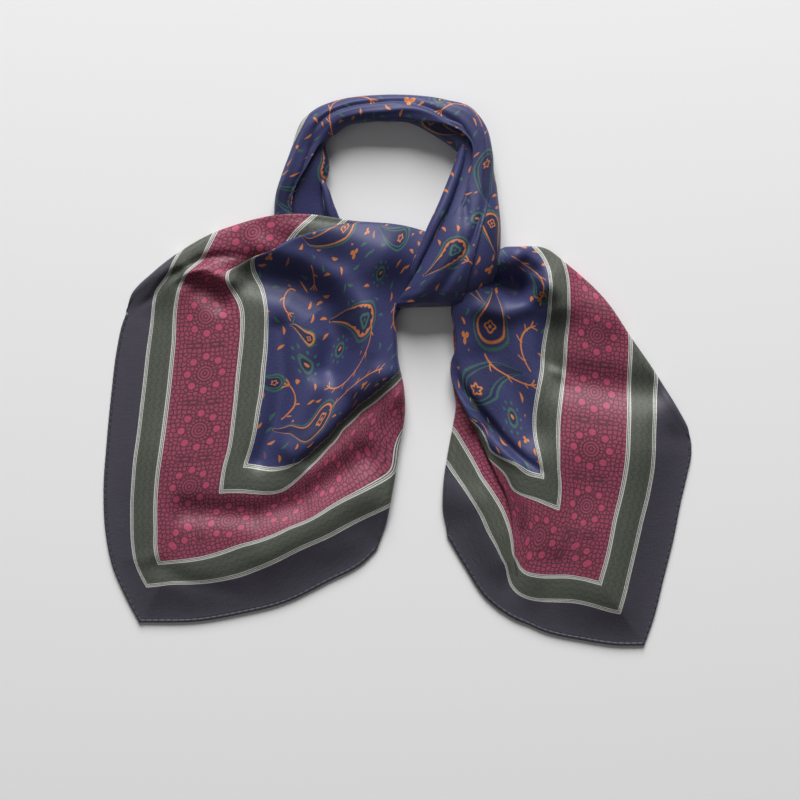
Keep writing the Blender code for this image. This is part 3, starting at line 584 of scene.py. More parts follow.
def lay_grid(points, cut):
    """A mesh through a grid of points, with its map given point by point. Empty places are left out."""
    tall, wide = points.shape[0] - 1, points.shape[1] - 1
    bm = bmesh.new()
    bmesh.ops.create_grid(bm, x_segments=wide, y_segments=tall, size=0.5)
    marks = {}
    spare = []
    for vertex in bm.verts:
        column = round((vertex.co.x + 0.5) * wide)
        row = round((vertex.co.y + 0.5) * tall)
        if np.isnan(points[row, column, 0]):
            spare.append(vertex)
            continue
        vertex.co = points[row, column] * MM
        marks[vertex] = cut[row, column] * MM
    bmesh.ops.delete(bm, geom=spare, context="VERTS")
    layer = bm.loops.layers.uv.new("cut")
    for face in bm.faces:
        for loop in face.loops:
            loop[layer].uv = marks[loop.vert]
    return bm


def finish_mesh(name, bm, filled=False):
    """The object of a finished mesh. Unless it is filled, it gets the thickness of the cloth."""
    mesh = bpy.data.meshes.new(name)
    bm.normal_update()
    bm.to_mesh(mesh)
    bm.free()
    mesh.shade_smooth()
    obj = bpy.data.objects.new(name, mesh)
    bpy.context.scene.collection.objects.link(obj)
    if not filled:
        shell = obj.modifiers.new("shell", "SOLIDIFY")
        shell.thickness = SILK * MM
        shell.offset = -1.0
    return obj


def loft(name, points, cut, tube=False, filled=False):
    """A sheet through a grid of points. A tube's long edges are joined, and a filled one is closed."""
    bm = lay_grid(points, cut)
    if tube:
        bmesh.ops.remove_doubles(bm, verts=bm.verts, dist=SAME_SEAM * MM)
        if filled:
            bmesh.ops.holes_fill(bm, edges=[edge for edge in bm.edges if edge.is_boundary])
        bmesh.ops.recalc_face_normals(bm, faces=bm.faces)
    return finish_mesh(name, bm, filled)


def build_end(name, cloth, main_marks, strip_marks, overhang=False):
    """One mesh for an end, with the places of its print in the flat cut as its map."""
    points = cloth.points
    points[..., 2] = np.maximum(points[..., 2], LOWEST)
    on_main = Spread(main_marks).at(points[..., :2])
    on_strip = Spread(strip_marks).at(points[..., :2])
    if overhang:
        slip = OVERHANG_SLIP * smooth((on_main[..., 1] - OVERHANG_START) / OVERHANG_SOFT)
        for start, whole in OVERHANG_FADES:
            slip = slip * smooth((points[..., 0] - start) / (whole - start))
        on_main[..., 1] += slip
    under = cloth.under[..., None]
    bm = lay_grid(points, on_main * (1 - under) + on_strip * under)
    bmesh.ops.remove_doubles(bm, verts=bm.verts, dist=SAME_CORNER * MM)
    bmesh.ops.dissolve_degenerate(bm, edges=bm.edges, dist=SHORT_EDGE * MM)
    return finish_mesh(name, bm)


def arc_marks(points):
    """Lengths along each row and along the middle column of a grid of points."""
    across = np.linalg.norm(np.diff(points, axis=1), axis=-1)
    across = np.concatenate([np.zeros((points.shape[0], 1)), np.cumsum(across, axis=1)], axis=1)
    middle = points[:, points.shape[1] // 2]
    along = np.concatenate([[0], np.cumsum(np.linalg.norm(np.diff(middle, axis=0), axis=-1))])
    return np.stack([across, np.repeat(along[:, None], points.shape[1], axis=1)], axis=-1)


def sections_of(table, count):
    """The ovals of a rolled sheet, at even steps along it."""
    rows = np.array(table, dtype=float)
    middle = (rows[:, 0:2] + rows[:, 2:4]) / 2
    path = Path(np.concatenate([middle, rows], axis=1))
    return path.at(np.linspace(0, 1, count))[:, 2:]


def dented(folds, shares, angle):
    """How far soft folds along a roll move its surface outwards."""
    moved = np.zeros_like(shares)
    for start, stop, first, last, width, depth in folds:
        along = np.clip((shares - start) / (stop - start), 0, 1)
        line = first + (last - first) * smooth(along)
        fade = np.sin(math.pi * along) ** 0.6
        moved += depth * fade * np.exp(-((np.degrees(angle) - line) / width) ** 2)
    return moved


def build_over(name, table, steps, sides, curl, shift, folds=()):
    """A sheet over a row of ovals, with both its edges curled under. shift is its place in the cut."""
    sections = sections_of(table, steps)
    centre = (sections[:, 0:2] + sections[:, 2:4]) / 2
    half = (sections[:, 2:4] - sections[:, 0:2]) / 2
    wide = np.linalg.norm(half, axis=1)
    across = half / wide[:, None]
    tall = sections[:, 5]

    def on_oval(angle):
        spot = np.stack([wide * np.cos(angle), tall * np.sin(angle)], axis=1)
        normal = unit(np.stack([np.cos(angle) / wide, np.sin(angle) / tall], axis=1))
        return spot, normal

    rings = []
    for turn in np.linspace(0, 1, sides + 1):
        angle = np.radians(sections[:, 7] + (sections[:, 6] - sections[:, 7]) * turn)
        spot, normal = on_oval(angle)
        rings.append(spot + normal * dented(folds, np.linspace(0, 1, steps), angle)[:, None])
    curls = []
    for column, sign in ((7, 1), (6, -1)):
        spot, normal = on_oval(np.radians(sections[:, column]))
        onward = sign * np.stack([-normal[:, 1], normal[:, 0]], axis=1)
        ring = []
        for angle in np.radians(CURL_ANGLES):
            ring.append(spot + curl * (normal * (math.cos(angle) - 1) + onward * math.sin(angle)))
        for _ in range(CURL_LIP_STEPS):
            ring.append(ring[-1] - onward * CURL_LIP)
        curls.append(ring)
    points = []
    for ring in curls[0][::-1] + rings + curls[1]:
        spot = centre + across * ring[:, 0:1]
        points.append(with_height(spot, np.maximum(sections[:, 4] + ring[:, 1], SILK)))
    points = np.stack(points, axis=1)
    return loft(name, points, arc_marks(points) + shift)


def wrap_shift():
    """Where the wrap lies in the cut: its grey band shows at the loop's upper left only."""
    shares = np.linspace(0, 1, WRAP_STEPS)
    bump = np.exp(-((shares - WRAP_BAND_PLACE) / WRAP_BAND_LENGTH) ** 2)
    shift = np.stack([WRAP_CUT[0] - WRAP_BAND_SHIFT * bump, np.full(WRAP_STEPS, WRAP_CUT[1])], axis=1)
    return shift[:, None, :]


def flattened(value):
    """Bends a circle's sine or cosine towards a roll's flatter faces."""
    return math.copysign(abs(value) ** ROLL_BOXINESS, value)


def build_rolls():
    """The layers inside the loop: an oval tube, shown between the wrap's edge and the neck hole."""
    sections = sections_of(WRAP[:ROLL_STATIONS], ROLL_STEPS)
    outer, inner = sections[:, 0:2], sections[:, 2:4]
    across = unit(inner - outer)
    half = np.linalg.norm(inner - outer, axis=1) / 2 - ROLL_INSET
    rise = (sections[:, 5] - ROLL_INSET / 2) * ROLL_LOWER
    points = []
    for angle in np.linspace(0, 2 * math.pi, ROLL_SIDES + 1):
        spot = (outer + inner) / 2 + across * (half * flattened(math.cos(angle)))[:, None]
        points.append(with_height(spot, rise + rise * flattened(math.sin(angle))))
    points = np.stack(points, axis=1)
    return loft("inner_rolls", points, arc_marks(points) + ROLLS_CUT, tube=True)


def rings_round(middle, side, up, radius, steps):
    """A grid of points: a ring round each place of a line."""
    rings = []
    for angle in np.linspace(0, 2 * math.pi, steps + 1):
        ring = side * math.cos(angle) + up * math.sin(angle)
        rings.append(middle + ring * radius[:, None])
    return np.stack(rings, axis=1)


def build_small_roll(name, rows, shift):
    """A thin roll at the side of the neck hole, from the places and radii of its table."""
    row = Path(rows).at(np.linspace(0, 1, SMALL_ROLL_STEPS))
    along = unit(np.gradient(row[:, :3], axis=0))
    side = unit(np.cross(along, UP))
    points = rings_round(row[:, :3], side, np.cross(side, along), row[:, 3], SMALL_ROLL_SIDES)
    return loft(name, points, arc_marks(points) + shift, tube=True)


def build_hem(name, rows, left_of_way):
    """A rolled hem: a filled tube that the stitches draw in every few millimetres."""
    path = Path(np.array(rows, dtype=float)[:, :2])
    count = int(path.length / HEM_STEP)
    shares = np.linspace(0, 1, count)
    line = path.at(shares)
    side = sideways(line, -1 if left_of_way else 1)
    middle = with_height(line + side * HEM_RADIUS, np.full(count, HEM_RADIUS))
    along = shares * path.length
    dimple = np.abs(np.sin(math.pi * along / STITCH_PITCH)) ** 0.5
    radius = HEM_RADIUS * (1 - STITCH_DEPTH + STITCH_DEPTH * dimple)
    points = rings_round(middle, with_height(side, np.zeros(count)), UP, radius, HEM_SIDES)
    cut = np.stack([np.full(points.shape[:2], 1.0),
                    np.repeat(along[:, None], points.shape[1], axis=1)], axis=-1)
    return loft(name, points, cut, tube=True, filled=True)


def build_pieces():
    """Every piece of the neckerchief, by its name."""
    left = EndCloth(Patch(LEFT_SIDE_HEM, LEFT_RIGHT_FOLD, LEFT_LOWER_HEM, LEFT_SEAM),
                    LEFT_STRIP_START, LEFT_STRIP_OUTER, left_height, LEFT_PLEAT,
                    columns=118, rows=124, strip_rows=18)
    right = EndCloth(Patch(RIGHT_LOWER_HEM, RIGHT_TOP_FOLD, RIGHT_SIDE_HEM, RIGHT_SEAM),
                     RIGHT_STRIP_HEM, RIGHT_STRIP_OUTER, right_height, RIGHT_PLEAT,
                     columns=150, rows=96, strip_rows=30)
    left_marks = marks_of(LEFT_LINES) + LEFT_MAIN_MARKS
    right_marks = marks_of(RIGHT_LINES) + RIGHT_MAIN_MARKS
    pieces = [
        build_end("left_end_cloth", left, left_marks, LEFT_STRIP_MARKS, overhang=True),
        build_end("right_end_cloth", right, right_marks, RIGHT_STRIP_MARKS),
        build_over("wrap", WRAP, WRAP_STEPS, WRAP_SIDES, WRAP_CURL, wrap_shift(), WRAP_FOLDS),
        build_rolls(),
        build_small_roll("small_roll_right", RIGHT_INNER, RIGHT_INNER_CUT),
        build_small_roll("small_roll_left", LEFT_INNER, LEFT_INNER_CUT),
        build_over("outer_strip", OUTER_STRIP, STRIP_STEPS, STRIP_SIDES, STRIP_CURL, STRIP_CUT),
    ]
    for name, (rows, left_of_way) in HEMS.items():
        pieces.append(build_hem(name, rows, left_of_way))
    return {piece.name: piece for piece in pieces}


# The solids that each piece stands for.
REPLACED = {
    "left_end_cloth": ("left_end", "left_end_upper_fold", "left_end_layers", "left_end_root_layers"),
    "right_end_cloth": ("right_end", "right_end_lower_fold", "right_end_layers",
                        "right_end_root_layers"),
    "wrap": ("loop_left_wrap", "loop_top_wrap", "loop_right_wrap", "knot_wrap", "knot_layers"),
    "inner_rolls": ("loop_left_roll", "loop_top_roll", "loop_right_roll"),
    "small_roll_right": ("loop_right_inner_roll",),
    "small_roll_left": ("loop_left_inner_roll",),
    "outer_strip": ("knot_outer_strip",),
    "left_end_side_hem_roll": ("left_end_side_hem",),
    "left_end_lower_hem_roll": ("left_end_lower_hem",),
    "right_end_side_hem_roll": ("right_end_side_hem",),
    "right_end_lower_hem_roll": ("right_end_lower_hem",),
}

# The print, in millimetres.
BAND_EDGES = (25.0, 41.0, 82.0, 97.0)    # distances of the printed lines from the hem
BAND_MIDDLE = 61.5                       # distance of the wide band's middle from the hem
BAND_STROKES = ((-0.95, 0.33), (0.0, 0.24), (0.95, 0.24))  # the place and half width of each stroke
ROSETTE_PITCH = 34.8
DOT_PITCH = 2.7
LEAF_PITCH = 9.6
TWIG_PITCH = 9.0
TWILL_PITCH = 0.5
PRINT_LINE = 0.62                        # half width of a paisley's printed line
SILK_FINISH = {"Roughness": 0.52, "Specular IOR Level": 0.32, "Sheen Weight": 0.10,
               "Sheen Roughness": 0.30}


def colour(red, green, blue):
    """A colour from the usual 0 to 255 values."""
    shares = [value / 255 for value in (red, green, blue)]
    straight = [share / 12.92 if share <= 0.04045 else ((share + 0.055) / 1.055) ** 2.4
                for share in shares]
    return (*straight, 1.0)


NAVY = colour(53, 55, 95)
NAVY_INSIDE = colour(30, 32, 60)
ORANGE = colour(192, 116, 60)
LEAF_GREEN = colour(60, 96, 86)
CHARCOAL = colour(66, 63, 73)
STITCH = colour(26, 24, 30)
BAND_GREEN = colour(80, 83, 75)
ZIGZAG = colour(38, 44, 40)
BAND_GROUND = colour(88, 46, 57)
BAND_DOTS = colour(146, 66, 90)
BAND_LARGE_DOTS = colour(170, 70, 98)
LINE_GAP = colour(52, 52, 54)
WHITE = colour(200, 200, 194)

# The motifs of each piece, in millimetres of the cut: kind, a, b and turn, then a flower's or
# sprig's size, a paisley's half width, bend and tail in half widths, or a vine's radius and half
# angle, negative where its three prongs are at the other end.
LEFT_PRINT = [
    ("paisley", 158, 233, 100, 8.6, 0.10, 3.6),
    ("green", 203, 204, 66, 7.4, 0.12, 3.2),
    ("toothed", 168, 172, 42, 10.2, -0.13, 3.0),
    ("paisley", 123, 182, 78, 4.2, -0.10, 2.6),
    ("paisley", 140, 128, 128, 10.2, 0.16, 3.0),
    ("flower", 186, 191, 0, 3.5),
    ("flower", 120, 166, 0, 4.4),
    ("flower", 145, 168, 20, 3.4),
    ("green", 103, 148, 84, 5.2, 0.1, 2.4),
    ("vine", 152, 166, -58, 22.0, -66),
    ("vine", 168, 92, 90, 44.0, -30),
    ("vine", 103, 136, 0, 12.0, 52),
    ("vine", 118, 194, 150, 8.5, 70),
    ("vine", 117, 216, 0, 18.0, -18),
    ("vine", 214, 158, 190, 18.0, 36),
    ("sprig", 166, 214, 20, 3.2),
    ("sprig", 107, 224, 70, 2.4),
    ("sprig", 178, 128, 10, 2.8),
    ("sprig", 176, 222, 80, 2.2),
]
RIGHT_PRINT = [
    ("paisley", 127, 166, 4, 11.0, 0.10, 2.2),
    ("green", 130, 136, 30, 10.6, -0.16, 2.6),
    ("green", 103, 206, -10, 5.2, 0.1, 2.6),
    ("paisley", 152, 188, 150, 7.0, 0.2, 2.8),
    ("flower", 112, 126, 0, 3.3),
    ("flower", 128, 214, 0, 3.4),
    ("vine", 92, 172, -8, 18.0, 44),
    ("vine", 112, 169.5, -84, 22.0, -34),
    ("vine", 116, 210, 150, 14.0, 58),
    ("sprig", 142, 154, 15, 3.2),
    ("sprig", 104, 118, 60, 2.4),
]
ROLLED_PRINT = [
    ("green", 134, 147, 80, 8.0, 0.16, 2.6),
    ("vine", 145, 214, 180, 30.0, -56),
    ("sprig", 131, 262, 0, 3.8),
    ("flower", 127, 280, 0, 3.4),
    ("vine", 146, 300, 190, 20.0, 48),
    ("green", 129, 336, 4, 9.0, -0.12, 3.6),
    ("flower", 122, 374, 0, 3.8),
    ("toothed", 131, 397, -32, 8.6, 0.1, 2.6),
    ("vine", 127, 417, 184, 14.0, 58),
    ("flower", 148, 362, 0, 2.8),
    ("toothed", 342, 184, 10, 7.0, 0.15, 2.6),
    ("paisley", 350, 300, 20, 7.0, 0.2, 2.6),
    ("vine", 352, 344, 180, 12.0, 60),
    ("paisley", 308, 334, 0, 8.0, -0.12, 2.6),
    ("sprig", 306, 362, 0, 3.2),
]

# Lamps: name, place, size and power. Lengths here are in metres.
LAMPS = [("key", (0.05, 3.15, 1.85), 2.2, 226.0), ("fill", (-1.2, -0.6, 2.4), 1.5, 4.0)]
AMBIENT = 0.10
VIEW_WIDTH = 0.488
VIEW_CENTRE = (0.0021, -0.0172)
MEAN_HEIGHT = 0.010
FLOOR_SIZE = 6.0
FLOOR_TINT = 0.82


class Signal:
    """A number in a shader, with the ordinary sums written as nodes."""

    def __init__(self, tree, socket):
        self.tree = tree
        self.socket = socket

    def node(self, operation, *values, clamp=False):
        node = self.tree.nodes.new("ShaderNodeMath")
        node.operation = operation
        node.use_clamp = clamp
        for socket, value in zip(node.inputs, (self, *values)):
            put(self.tree, value, socket)
        return Signal(self.tree, node.outputs[0])

    def __add__(self, other):
        return self.node("ADD", other)

    def __sub__(self, other):
        return self.node("SUBTRACT", other)

    def __mul__(self, other):
        return self.node("MULTIPLY", other)

    def __truediv__(self, other):
        return self.node("DIVIDE", other)

    def low(self, other):
        return self.node("MINIMUM", other)

    def high(self, other):
        return self.node("MAXIMUM", other)

    def size(self):
        return self.node("ABSOLUTE")

    def past(self, edge, soft):
        """0 below the edge and 1 above it, turning over twice the soft width."""
        return self.node("MULTIPLY_ADD", 0.5 / soft, 0.5 - 0.5 * edge / soft, clamp=True)

    def within(self, centre, half, soft):
        """1 within half of the centre and 0 outside."""
        return (self - centre).size().node("MULTIPLY_ADD", -0.5 / soft, 0.5 + 0.5 * half / soft, clamp=True)

    def wave(self, period):
        """A triangle wave from 0 to 1 and back over the period."""
        return self.node("PINGPONG", period / 2) * (2 / period)

    def repeat(self, period):
        """The place within a repeat, from minus half the period to half of it."""
        return self.node("WRAP", period / 2, -period / 2)


def put(tree, value, socket):
    """Gives a socket what it reads: a signal, another socket, or a fixed value."""
    if isinstance(value, Signal):
        tree.links.new(value.socket, socket)
    elif isinstance(value, bpy.types.NodeSocket):
        tree.links.new(value, socket)
    else:
        socket.default_value = value


def new_node(tree, kind, inputs):
    """A node with what its inputs read, each by its name or its number."""
    node = tree.nodes.new("ShaderNode" + kind)
    for key, value in inputs.items():
        put(tree, value, node.inputs[key])
    return node


def mix(tree, factor, first, second, blend="MIX"):
    """Two colours, mixed by a factor. 6 and 7 are the node's two colours, and 2 is the result."""
    node = tree.nodes.new("ShaderNodeMix")
    node.data_type = "RGBA"
    node.blend_type = blend
    for number, value in ((0, factor), (6, first), (7, second)):
        put(tree, value, node.inputs[number])
    return node.outputs[2]


def axes(tree, place):
    """The first two coordinates of a place."""
    node = new_node(tree, "SeparateXYZ", {0: place})
    return Signal(tree, node.outputs[0]), Signal(tree, node.outputs[1])


def length(x, y):
    return (x * x + y * y).node("SQRT")


def bearing(x, y):
    return y.node("ARCTAN2", x)


def petals(x, y, count, depth):
    """A wave round a centre, for the outline of a small flower."""
    return (bearing(x, y) * count).node("SINE") * depth


def local_place(tree, place, a, b, turn, size=1.0):
    """The place on one motif, turned and scaled so that the motif's body is 1 across its half."""
    node = new_node(tree, "Mapping", {"Vector": place, "Location": (a, b, 0), "Scale": (size, size, 1),
                                      "Rotation": (0, 0, math.radians(turn))})
    node.vector_type = "TEXTURE"
    return axes(tree, node.outputs[0])


def teardrop(x, y, bend, tail):
    """0 on the spine of a bent teardrop and 1 on its outline; its tail runs along y."""
    above = y.high(0.0)
    below = y.low(0.0)
    width = (above * (-1 / tail) + 1).high(0.10).node("POWER", 0.85)
    off = x - above * above * bend
    return length(off, below) / width + (above - tail * 0.96).high(0.0) * 8


# Each motif gives its orange and green lines, its dark inside, and its level: 1 is its outline.
def paisley(tree, place, a, b, turn, size, bend, tail):
    """A paisley with a green outline, an orange line inside it and an eye."""
    x, y = local_place(tree, place, a, b, turn, size)
    level = teardrop(x, y, bend, tail)
    line = PRINT_LINE / size
    eye = length(x, y + 0.05)
    orange = level.within(0.80, line, 0.03)
    orange = orange.high((eye + petals(x, y, 4, 0.05)).within(0.27, 0.05, 0.03))
    orange = orange.high(eye.within(0.0, 0.09, 0.03))
    return orange, level.within(1.04, line, 0.04), level.within(0.0, 0.72, 0.05), level


def green_paisley(tree, place, a, b, turn, size, bend, tail):
    """A paisley drawn with two green lines, with an orange bud inside."""
    x, y = local_place(tree, place, a, b, turn, size)
    level = teardrop(x, y, bend, tail)
    line = PRINT_LINE / size
    eye = length(x, y) + petals(x, y, 5, 0.06)
    green = level.within(0.97, line, 0.04).high(level.within(0.68, line * 0.6, 0.04))
    return eye.within(0.24, 0.06, 0.03), green, level.within(0.0, 0.9, 0.05), level


def toothed_paisley(tree, place, a, b, turn, size, bend, tail):
    """A paisley whose orange line has teeth, round a green flower."""
    x, y = local_place(tree, place, a, b, turn, size)
    level = teardrop(x, y, bend, tail)
    tooth = (bearing(x, y - 0.2) * (9 / math.pi)).wave(1.6) * 0.15
    orange = (level + tooth).past(0.78, 0.03) * level.node("MULTIPLY_ADD", -16.0, 14.4, clamp=True)
    eye = length(x, y)
    green = (eye + petals(x, y, 3, 0.07)).within(0.34, 0.09, 0.03).high(eye.within(0.0, 0.08, 0.03))
    green = green.high(level.within(1.06, PRINT_LINE / size, 0.04))
    return orange, green, level.within(0.0, 0.68, 0.05), level


def round_flower(tree, place, a, b, turn, size):
    """A green ring round an orange comma, with short green rays."""
    x, y = local_place(tree, place, a, b, turn, size)
    r = length(x, y)
    ray = bearing(x, y).repeat(2 * math.pi / 9)
    rays = length(ray * 2.6, (r - 1.85) * 1.2).within(0.0, 0.30, 0.05)
    green = r.within(0.95, 0.20, 0.05).high(rays)
    orange = length(x - 0.1, (y - 0.08) * 1.7).within(0.0, 0.40, 0.05)
    return orange, green, r.within(0.0, 0.8, 0.1), r / 2.2


def vine(tree, place, a, b, turn, radius, half_angle):
    """An orange stem on an arc, with twigs outside and a three-pronged end."""
    x, y = local_place(tree, place, a, b, turn)
    out = length(x, y) - radius
    along = bearing(x, y) * math.copysign(radius, half_angle)
    reach = math.radians(abs(half_angle)) * radius
    stem = out.within(0.0, 0.42, 0.12) * along.within(0.0, reach, 0.3)
    twig = (along.repeat(TWIG_PITCH) - out.size() * 0.8).within(0.0, 0.42, 0.15)
    twig = twig * out.within(1.0, 1.7, 0.3) * along.within(0.0, reach - 2.5, 0.3)
    beyond = along - reach
    prong = (out.size() - beyond * 0.8).within(0.0, 0.5, 0.15).high(out.within(0.0, 0.35, 0.15))
    prong = prong * beyond.within(1.6, 1.7, 0.2)
    away = out.size() * 0.16 + along.past(reach + 4.0, 0.5) + (along * -1.0).past(reach + 2.0, 0.5)
    return stem.high(twig).high(prong), None, None, away + 0.55


def sprig(tree, place, a, b, turn, size):
    """Three small orange petals."""
    x, y = local_place(tree, place, a, b, turn, size)
    r = length(x, y)
    petal = (bearing(x, y) * 1.5).node("COSINE").size() * 0.8 + 0.2
    return (r - petal).node("MULTIPLY_ADD", -8.0, 0.5, clamp=True), None, None, r / 1.3


MOTIFS = {"paisley": paisley, "green": green_paisley, "toothed": toothed_paisley,
          "flower": round_flower, "vine": vine, "sprig": sprig}


def small_leaves(tree, place, seed):
    """Small leaves and buds strewn over the field, each turned its own way: orange and green masks."""
    shifted = new_node(tree, "VectorMath", {0: place, 1: (seed, -seed, 0)}).outputs[0]
    cells = tree.nodes.new("ShaderNodeTexVoronoi")
    cells.voronoi_dimensions = "2D"
    put(tree, 1 / LEAF_PITCH, cells.inputs["Scale"])
    put(tree, 0.75, cells.inputs["Randomness"])
    put(tree, shifted, cells.inputs["Vector"])
    off = new_node(tree, "VectorMath", {0: shifted, 1: cells.outputs["Position"]})
    off.operation = "SUBTRACT"
    chance = new_node(tree, "SeparateColor", {0: cells.outputs["Color"]})
    turn, pick, keep = [Signal(tree, socket) for socket in chance.outputs]
    turned = new_node(tree, "VectorRotate", {"Vector": off.outputs[0], "Angle": turn * (2 * math.pi)})
    turned.rotation_type = "Z_AXIS"
    x, y = axes(tree, turned.outputs[0])
    leaf = (y - x * x * 0.08).size() + x * x * 0.11
    shape = leaf.node("MULTIPLY_ADD", -2.5, 2.6, clamp=True) * keep.within(0.0, 0.85, 0.01)
    return shape * pick.past(0.45, 0.01), shape * (pick * -1.0).past(-0.45, 0.01)


def printed_field(tree, place, motifs, seed):
    """The navy field with its motifs, as a colour. The small leaves leave room for the motifs."""
    drawn = [MOTIFS[kind](tree, place, *measures) for kind, *measures in motifs]
    oranges, greens, insides, levels = zip(*drawn)
    nearest = levels[0]
    for level in levels[1:]:
        nearest = nearest.low(level)
    free = nearest.past(1.35, 0.05)
    orange, green = [leaves * free for leaves in small_leaves(tree, place, seed)]
    for mask in oranges:
        orange = orange.high(mask)
    for mask in filter(None, greens):
        green = green.high(mask)
    tint = NAVY
    for mask in filter(None, insides):
        tint = mix(tree, mask * 0.55, tint, NAVY_INSIDE)
    tint = mix(tree, green, tint, LEAF_GREEN)
    return mix(tree, orange, tint, ORANGE)


def rosettes(tree, near, along):
    """The wide band: rings with eight large dots around, and small dots packed between them."""
    u = (along - ROSETTE_PITCH / 2).repeat(ROSETTE_PITCH)
    w = near - BAND_MIDDLE
    r = length(u, w)
    point = new_node(tree, "CombineXYZ", {0: along, 1: w})
    cells = tree.nodes.new("ShaderNodeTexVoronoi")
    cells.voronoi_dimensions = "2D"
    cells.feature = "DISTANCE_TO_EDGE"
    put(tree, 1 / DOT_PITCH, cells.inputs["Scale"])
    put(tree, 0.6, cells.inputs["Randomness"])
    put(tree, point.outputs[0], cells.inputs["Vector"])
    dots = Signal(tree, cells.outputs["Distance"]).past(0.13, 0.05)
    ring = r.within(0.0, 0.8, 0.2)
    for radius in (2.2, 4.0):
        ring = ring.high(r.within(radius, 0.5, 0.2))
    bead = length(bearing(u, w).repeat(math.pi / 9) * 6.2, r - 6.1)
    ring = ring.high(bead.within(0.0, 0.8, 0.2))
    spot = length(r * bearing(u, w).repeat(math.pi / 4), r - 10.4)
    middle = along.repeat(ROSETTE_PITCH)
    bar = middle.within(0.0, 1.9, 0.5) * w.size().within(6.2, 4.6, 1.0)
    stroke = length(w.repeat(5.2) * 0.42, middle * 1.3).within(0.0, 0.85, 0.1)
    dots = dots * r.past(7.4, 0.3) * spot.past(2.8, 0.3) * (bar * -0.85 + 1)
    small = mix(tree, dots.high(ring).high(bar * stroke), BAND_GROUND, BAND_DOTS)
    return mix(tree, spot.within(0.0, 2.1, 0.25), small, BAND_LARGE_DOTS)


def banded(tree, near, along, field):
    """The square's borders, from the hem inwards, round the printed field."""
    fine = (near - along.wave(6.0) * 2.0).repeat(4.0).within(0.0, 0.28, 0.2)
    band = mix(tree, fine * 0.45, BAND_GREEN, ZIGZAG)
    tint = CHARCOAL
    for edge, inwards in zip(BAND_EDGES, (band, rosettes(tree, near, along), band, field)):
        tint = mix(tree, near.past(edge, 0.15), tint, inwards)
    for edge in BAND_EDGES:
        strokes = [near.within(edge + off, half, 0.1) for off, half in BAND_STROKES]
        tint = mix(tree, near.within(edge, 1.4, 0.1) * 0.7, tint, LINE_GAP)
        tint = mix(tree, strokes[0].high(strokes[1]).high(strokes[2]), tint, WHITE)
    return tint


def noise(tree, place, scale, detail):
    node = tree.nodes.new("ShaderNodeTexNoise")
    node.noise_dimensions = "2D"
    put(tree, scale, node.inputs["Scale"])
    put(tree, detail, node.inputs["Detail"])
    put(tree, place, node.inputs["Vector"])
    return Signal(tree, node.outputs["Fac"])


def grain(tree, place, tint, shader):
    """The fine twill: a slight mottle of the colour, and a low relief with it."""
    fine = noise(tree, place, 1.1, 3.0)
    stretched = new_node(tree, "Mapping", {"Vector": place, "Scale": (0.10, 1.7, 1)})
    thread = noise(tree, stretched.outputs[0], 1.0, 1.0)
    shade = fine * 0.8 + thread * 0.4 + 0.4
    put(tree, mix(tree, 1.0, tint, shade, "MULTIPLY"), shader.inputs["Base Color"])
    a, b = axes(tree, place)
    twill = (a + b).wave(TWILL_PITCH) * 0.15 + fine
    bump = new_node(tree, "Bump", {"Strength": 0.35, "Distance": 0.12 * MM, "Height": twill})
    put(tree, bump.outputs[0], shader.inputs["Normal"])


def silk_material(name):
    """A plain silk, and the place in the flat cut, in millimetres, for its pattern."""
    material = bpy.data.materials.new(name)
    material.use_nodes = True
    tree = material.node_tree
    shader = tree.nodes["Principled BSDF"]
    for finish, value in SILK_FINISH.items():
        shader.inputs[finish].default_value = value
    source = tree.nodes.new("ShaderNodeUVMap")
    source.uv_map = "cut"
    scaled = tree.nodes.new("ShaderNodeVectorMath")
    scaled.operation = "SCALE"
    put(tree, source.outputs[0], scaled.inputs[0])
    put(tree, 1 / MM, scaled.inputs["Scale"])
    return material, tree, shader, scaled.outputs[0]


def printed_silk(name, motifs, seed):
    material, tree, shader, place = silk_material(name)
    a, b = axes(tree, place)
    field = printed_field(tree, place, motifs, seed)
    grain(tree, place, banded(tree, a.low(b), a.high(b), field), shader)
    return material


def hem_silk():
    """The rolled hem, darker in its stitch dimples."""
    material, tree, shader, place = silk_material("rolled hem")
    _, along = axes(tree, place)
    dimple = (along * (math.pi / STITCH_PITCH)).node("SINE").size()
    dimple = dimple.node("MULTIPLY_ADD", -2.5, 1.0, clamp=True)
    grain(tree, place, mix(tree, dimple, CHARCOAL, STITCH), shader)
    return material


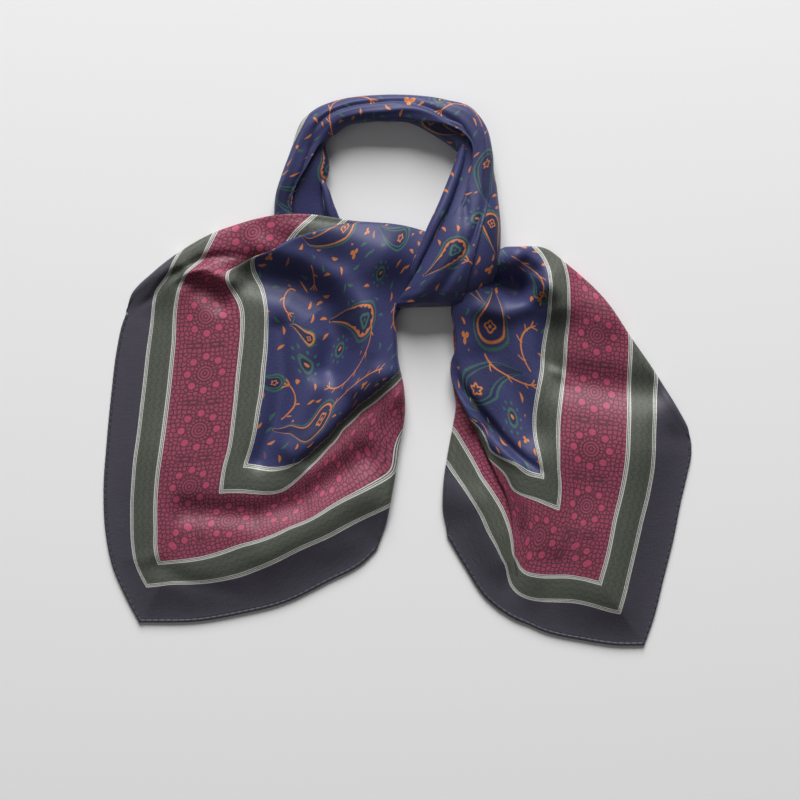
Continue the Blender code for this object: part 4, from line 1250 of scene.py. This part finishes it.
def dress(shown):
    """Gives each piece its cloth, attaches it to the root, and hides the solids it stands for."""
    left = printed_silk("printed silk, left end", LEFT_PRINT, 3.0)
    right = printed_silk("printed silk, right end", RIGHT_PRINT, 40.0)
    rolled = printed_silk("printed silk, rolled", ROLLED_PRINT, 90.0)
    hem = hem_silk()
    for name, obj in shown.items():
        if "hem" in name:
            cloth, slot = hem, "charcoal"
        elif name == "left_end_cloth":
            cloth, slot = left, "burgundy"
        elif name == "right_end_cloth":
            cloth, slot = right, "burgundy"
        else:
            cloth, slot = rolled, "navy"
        obj.data.materials.append(cloth)
        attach(obj, "root")
        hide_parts(*REPLACED[name])


def look(place, target):
    """The turn of a lamp at place that faces target."""
    return (Vector(target) - Vector(place)).to_track_quat("-Z", "Y").to_euler()


def lay_floor():
    bpy.ops.mesh.primitive_plane_add(size=FLOOR_SIZE, location=(0, 0, 0))
    floor = bpy.context.object
    floor.name = "floor"
    material = bpy.data.materials.new("pale floor")
    material.use_nodes = True
    shader = material.node_tree.nodes["Principled BSDF"]
    shader.inputs["Base Color"].default_value = (FLOOR_TINT, FLOOR_TINT, FLOOR_TINT, 1)
    shader.inputs["Roughness"].default_value = 0.9
    shader.inputs["Specular IOR Level"].default_value = 0.0
    floor.data.materials.append(material)


def light():
    for name, place, size, power in LAMPS:
        data = bpy.data.lights.new(name, "AREA")
        data.size = size
        data.energy = power
        lamp = bpy.data.objects.new(name, data)
        lamp.location = place
        lamp.rotation_euler = look(place, (0, 0, 0))
        bpy.context.scene.collection.objects.link(lamp)
    world = bpy.data.worlds.new("studio")
    bpy.context.scene.world = world
    world.use_nodes = True
    world.node_tree.nodes["Background"].inputs[0].default_value = (1, 1, 1, 1)
    world.node_tree.nodes["Background"].inputs[1].default_value = AMBIENT
    bpy.context.scene.view_settings.view_transform = "Standard"


def camera():
    data = bpy.data.cameras.new("camera")
    data.lens = 100.0
    data.sensor_width = 36.0
    obj = bpy.data.objects.new("camera", data)
    obj.location = (*VIEW_CENTRE, VIEW_WIDTH * data.lens / data.sensor_width + MEAN_HEIGHT)
    bpy.context.scene.collection.objects.link(obj)
    bpy.context.scene.camera = obj


shown = build_pieces()
dress(shown)
lay_floor()
light()
camera()
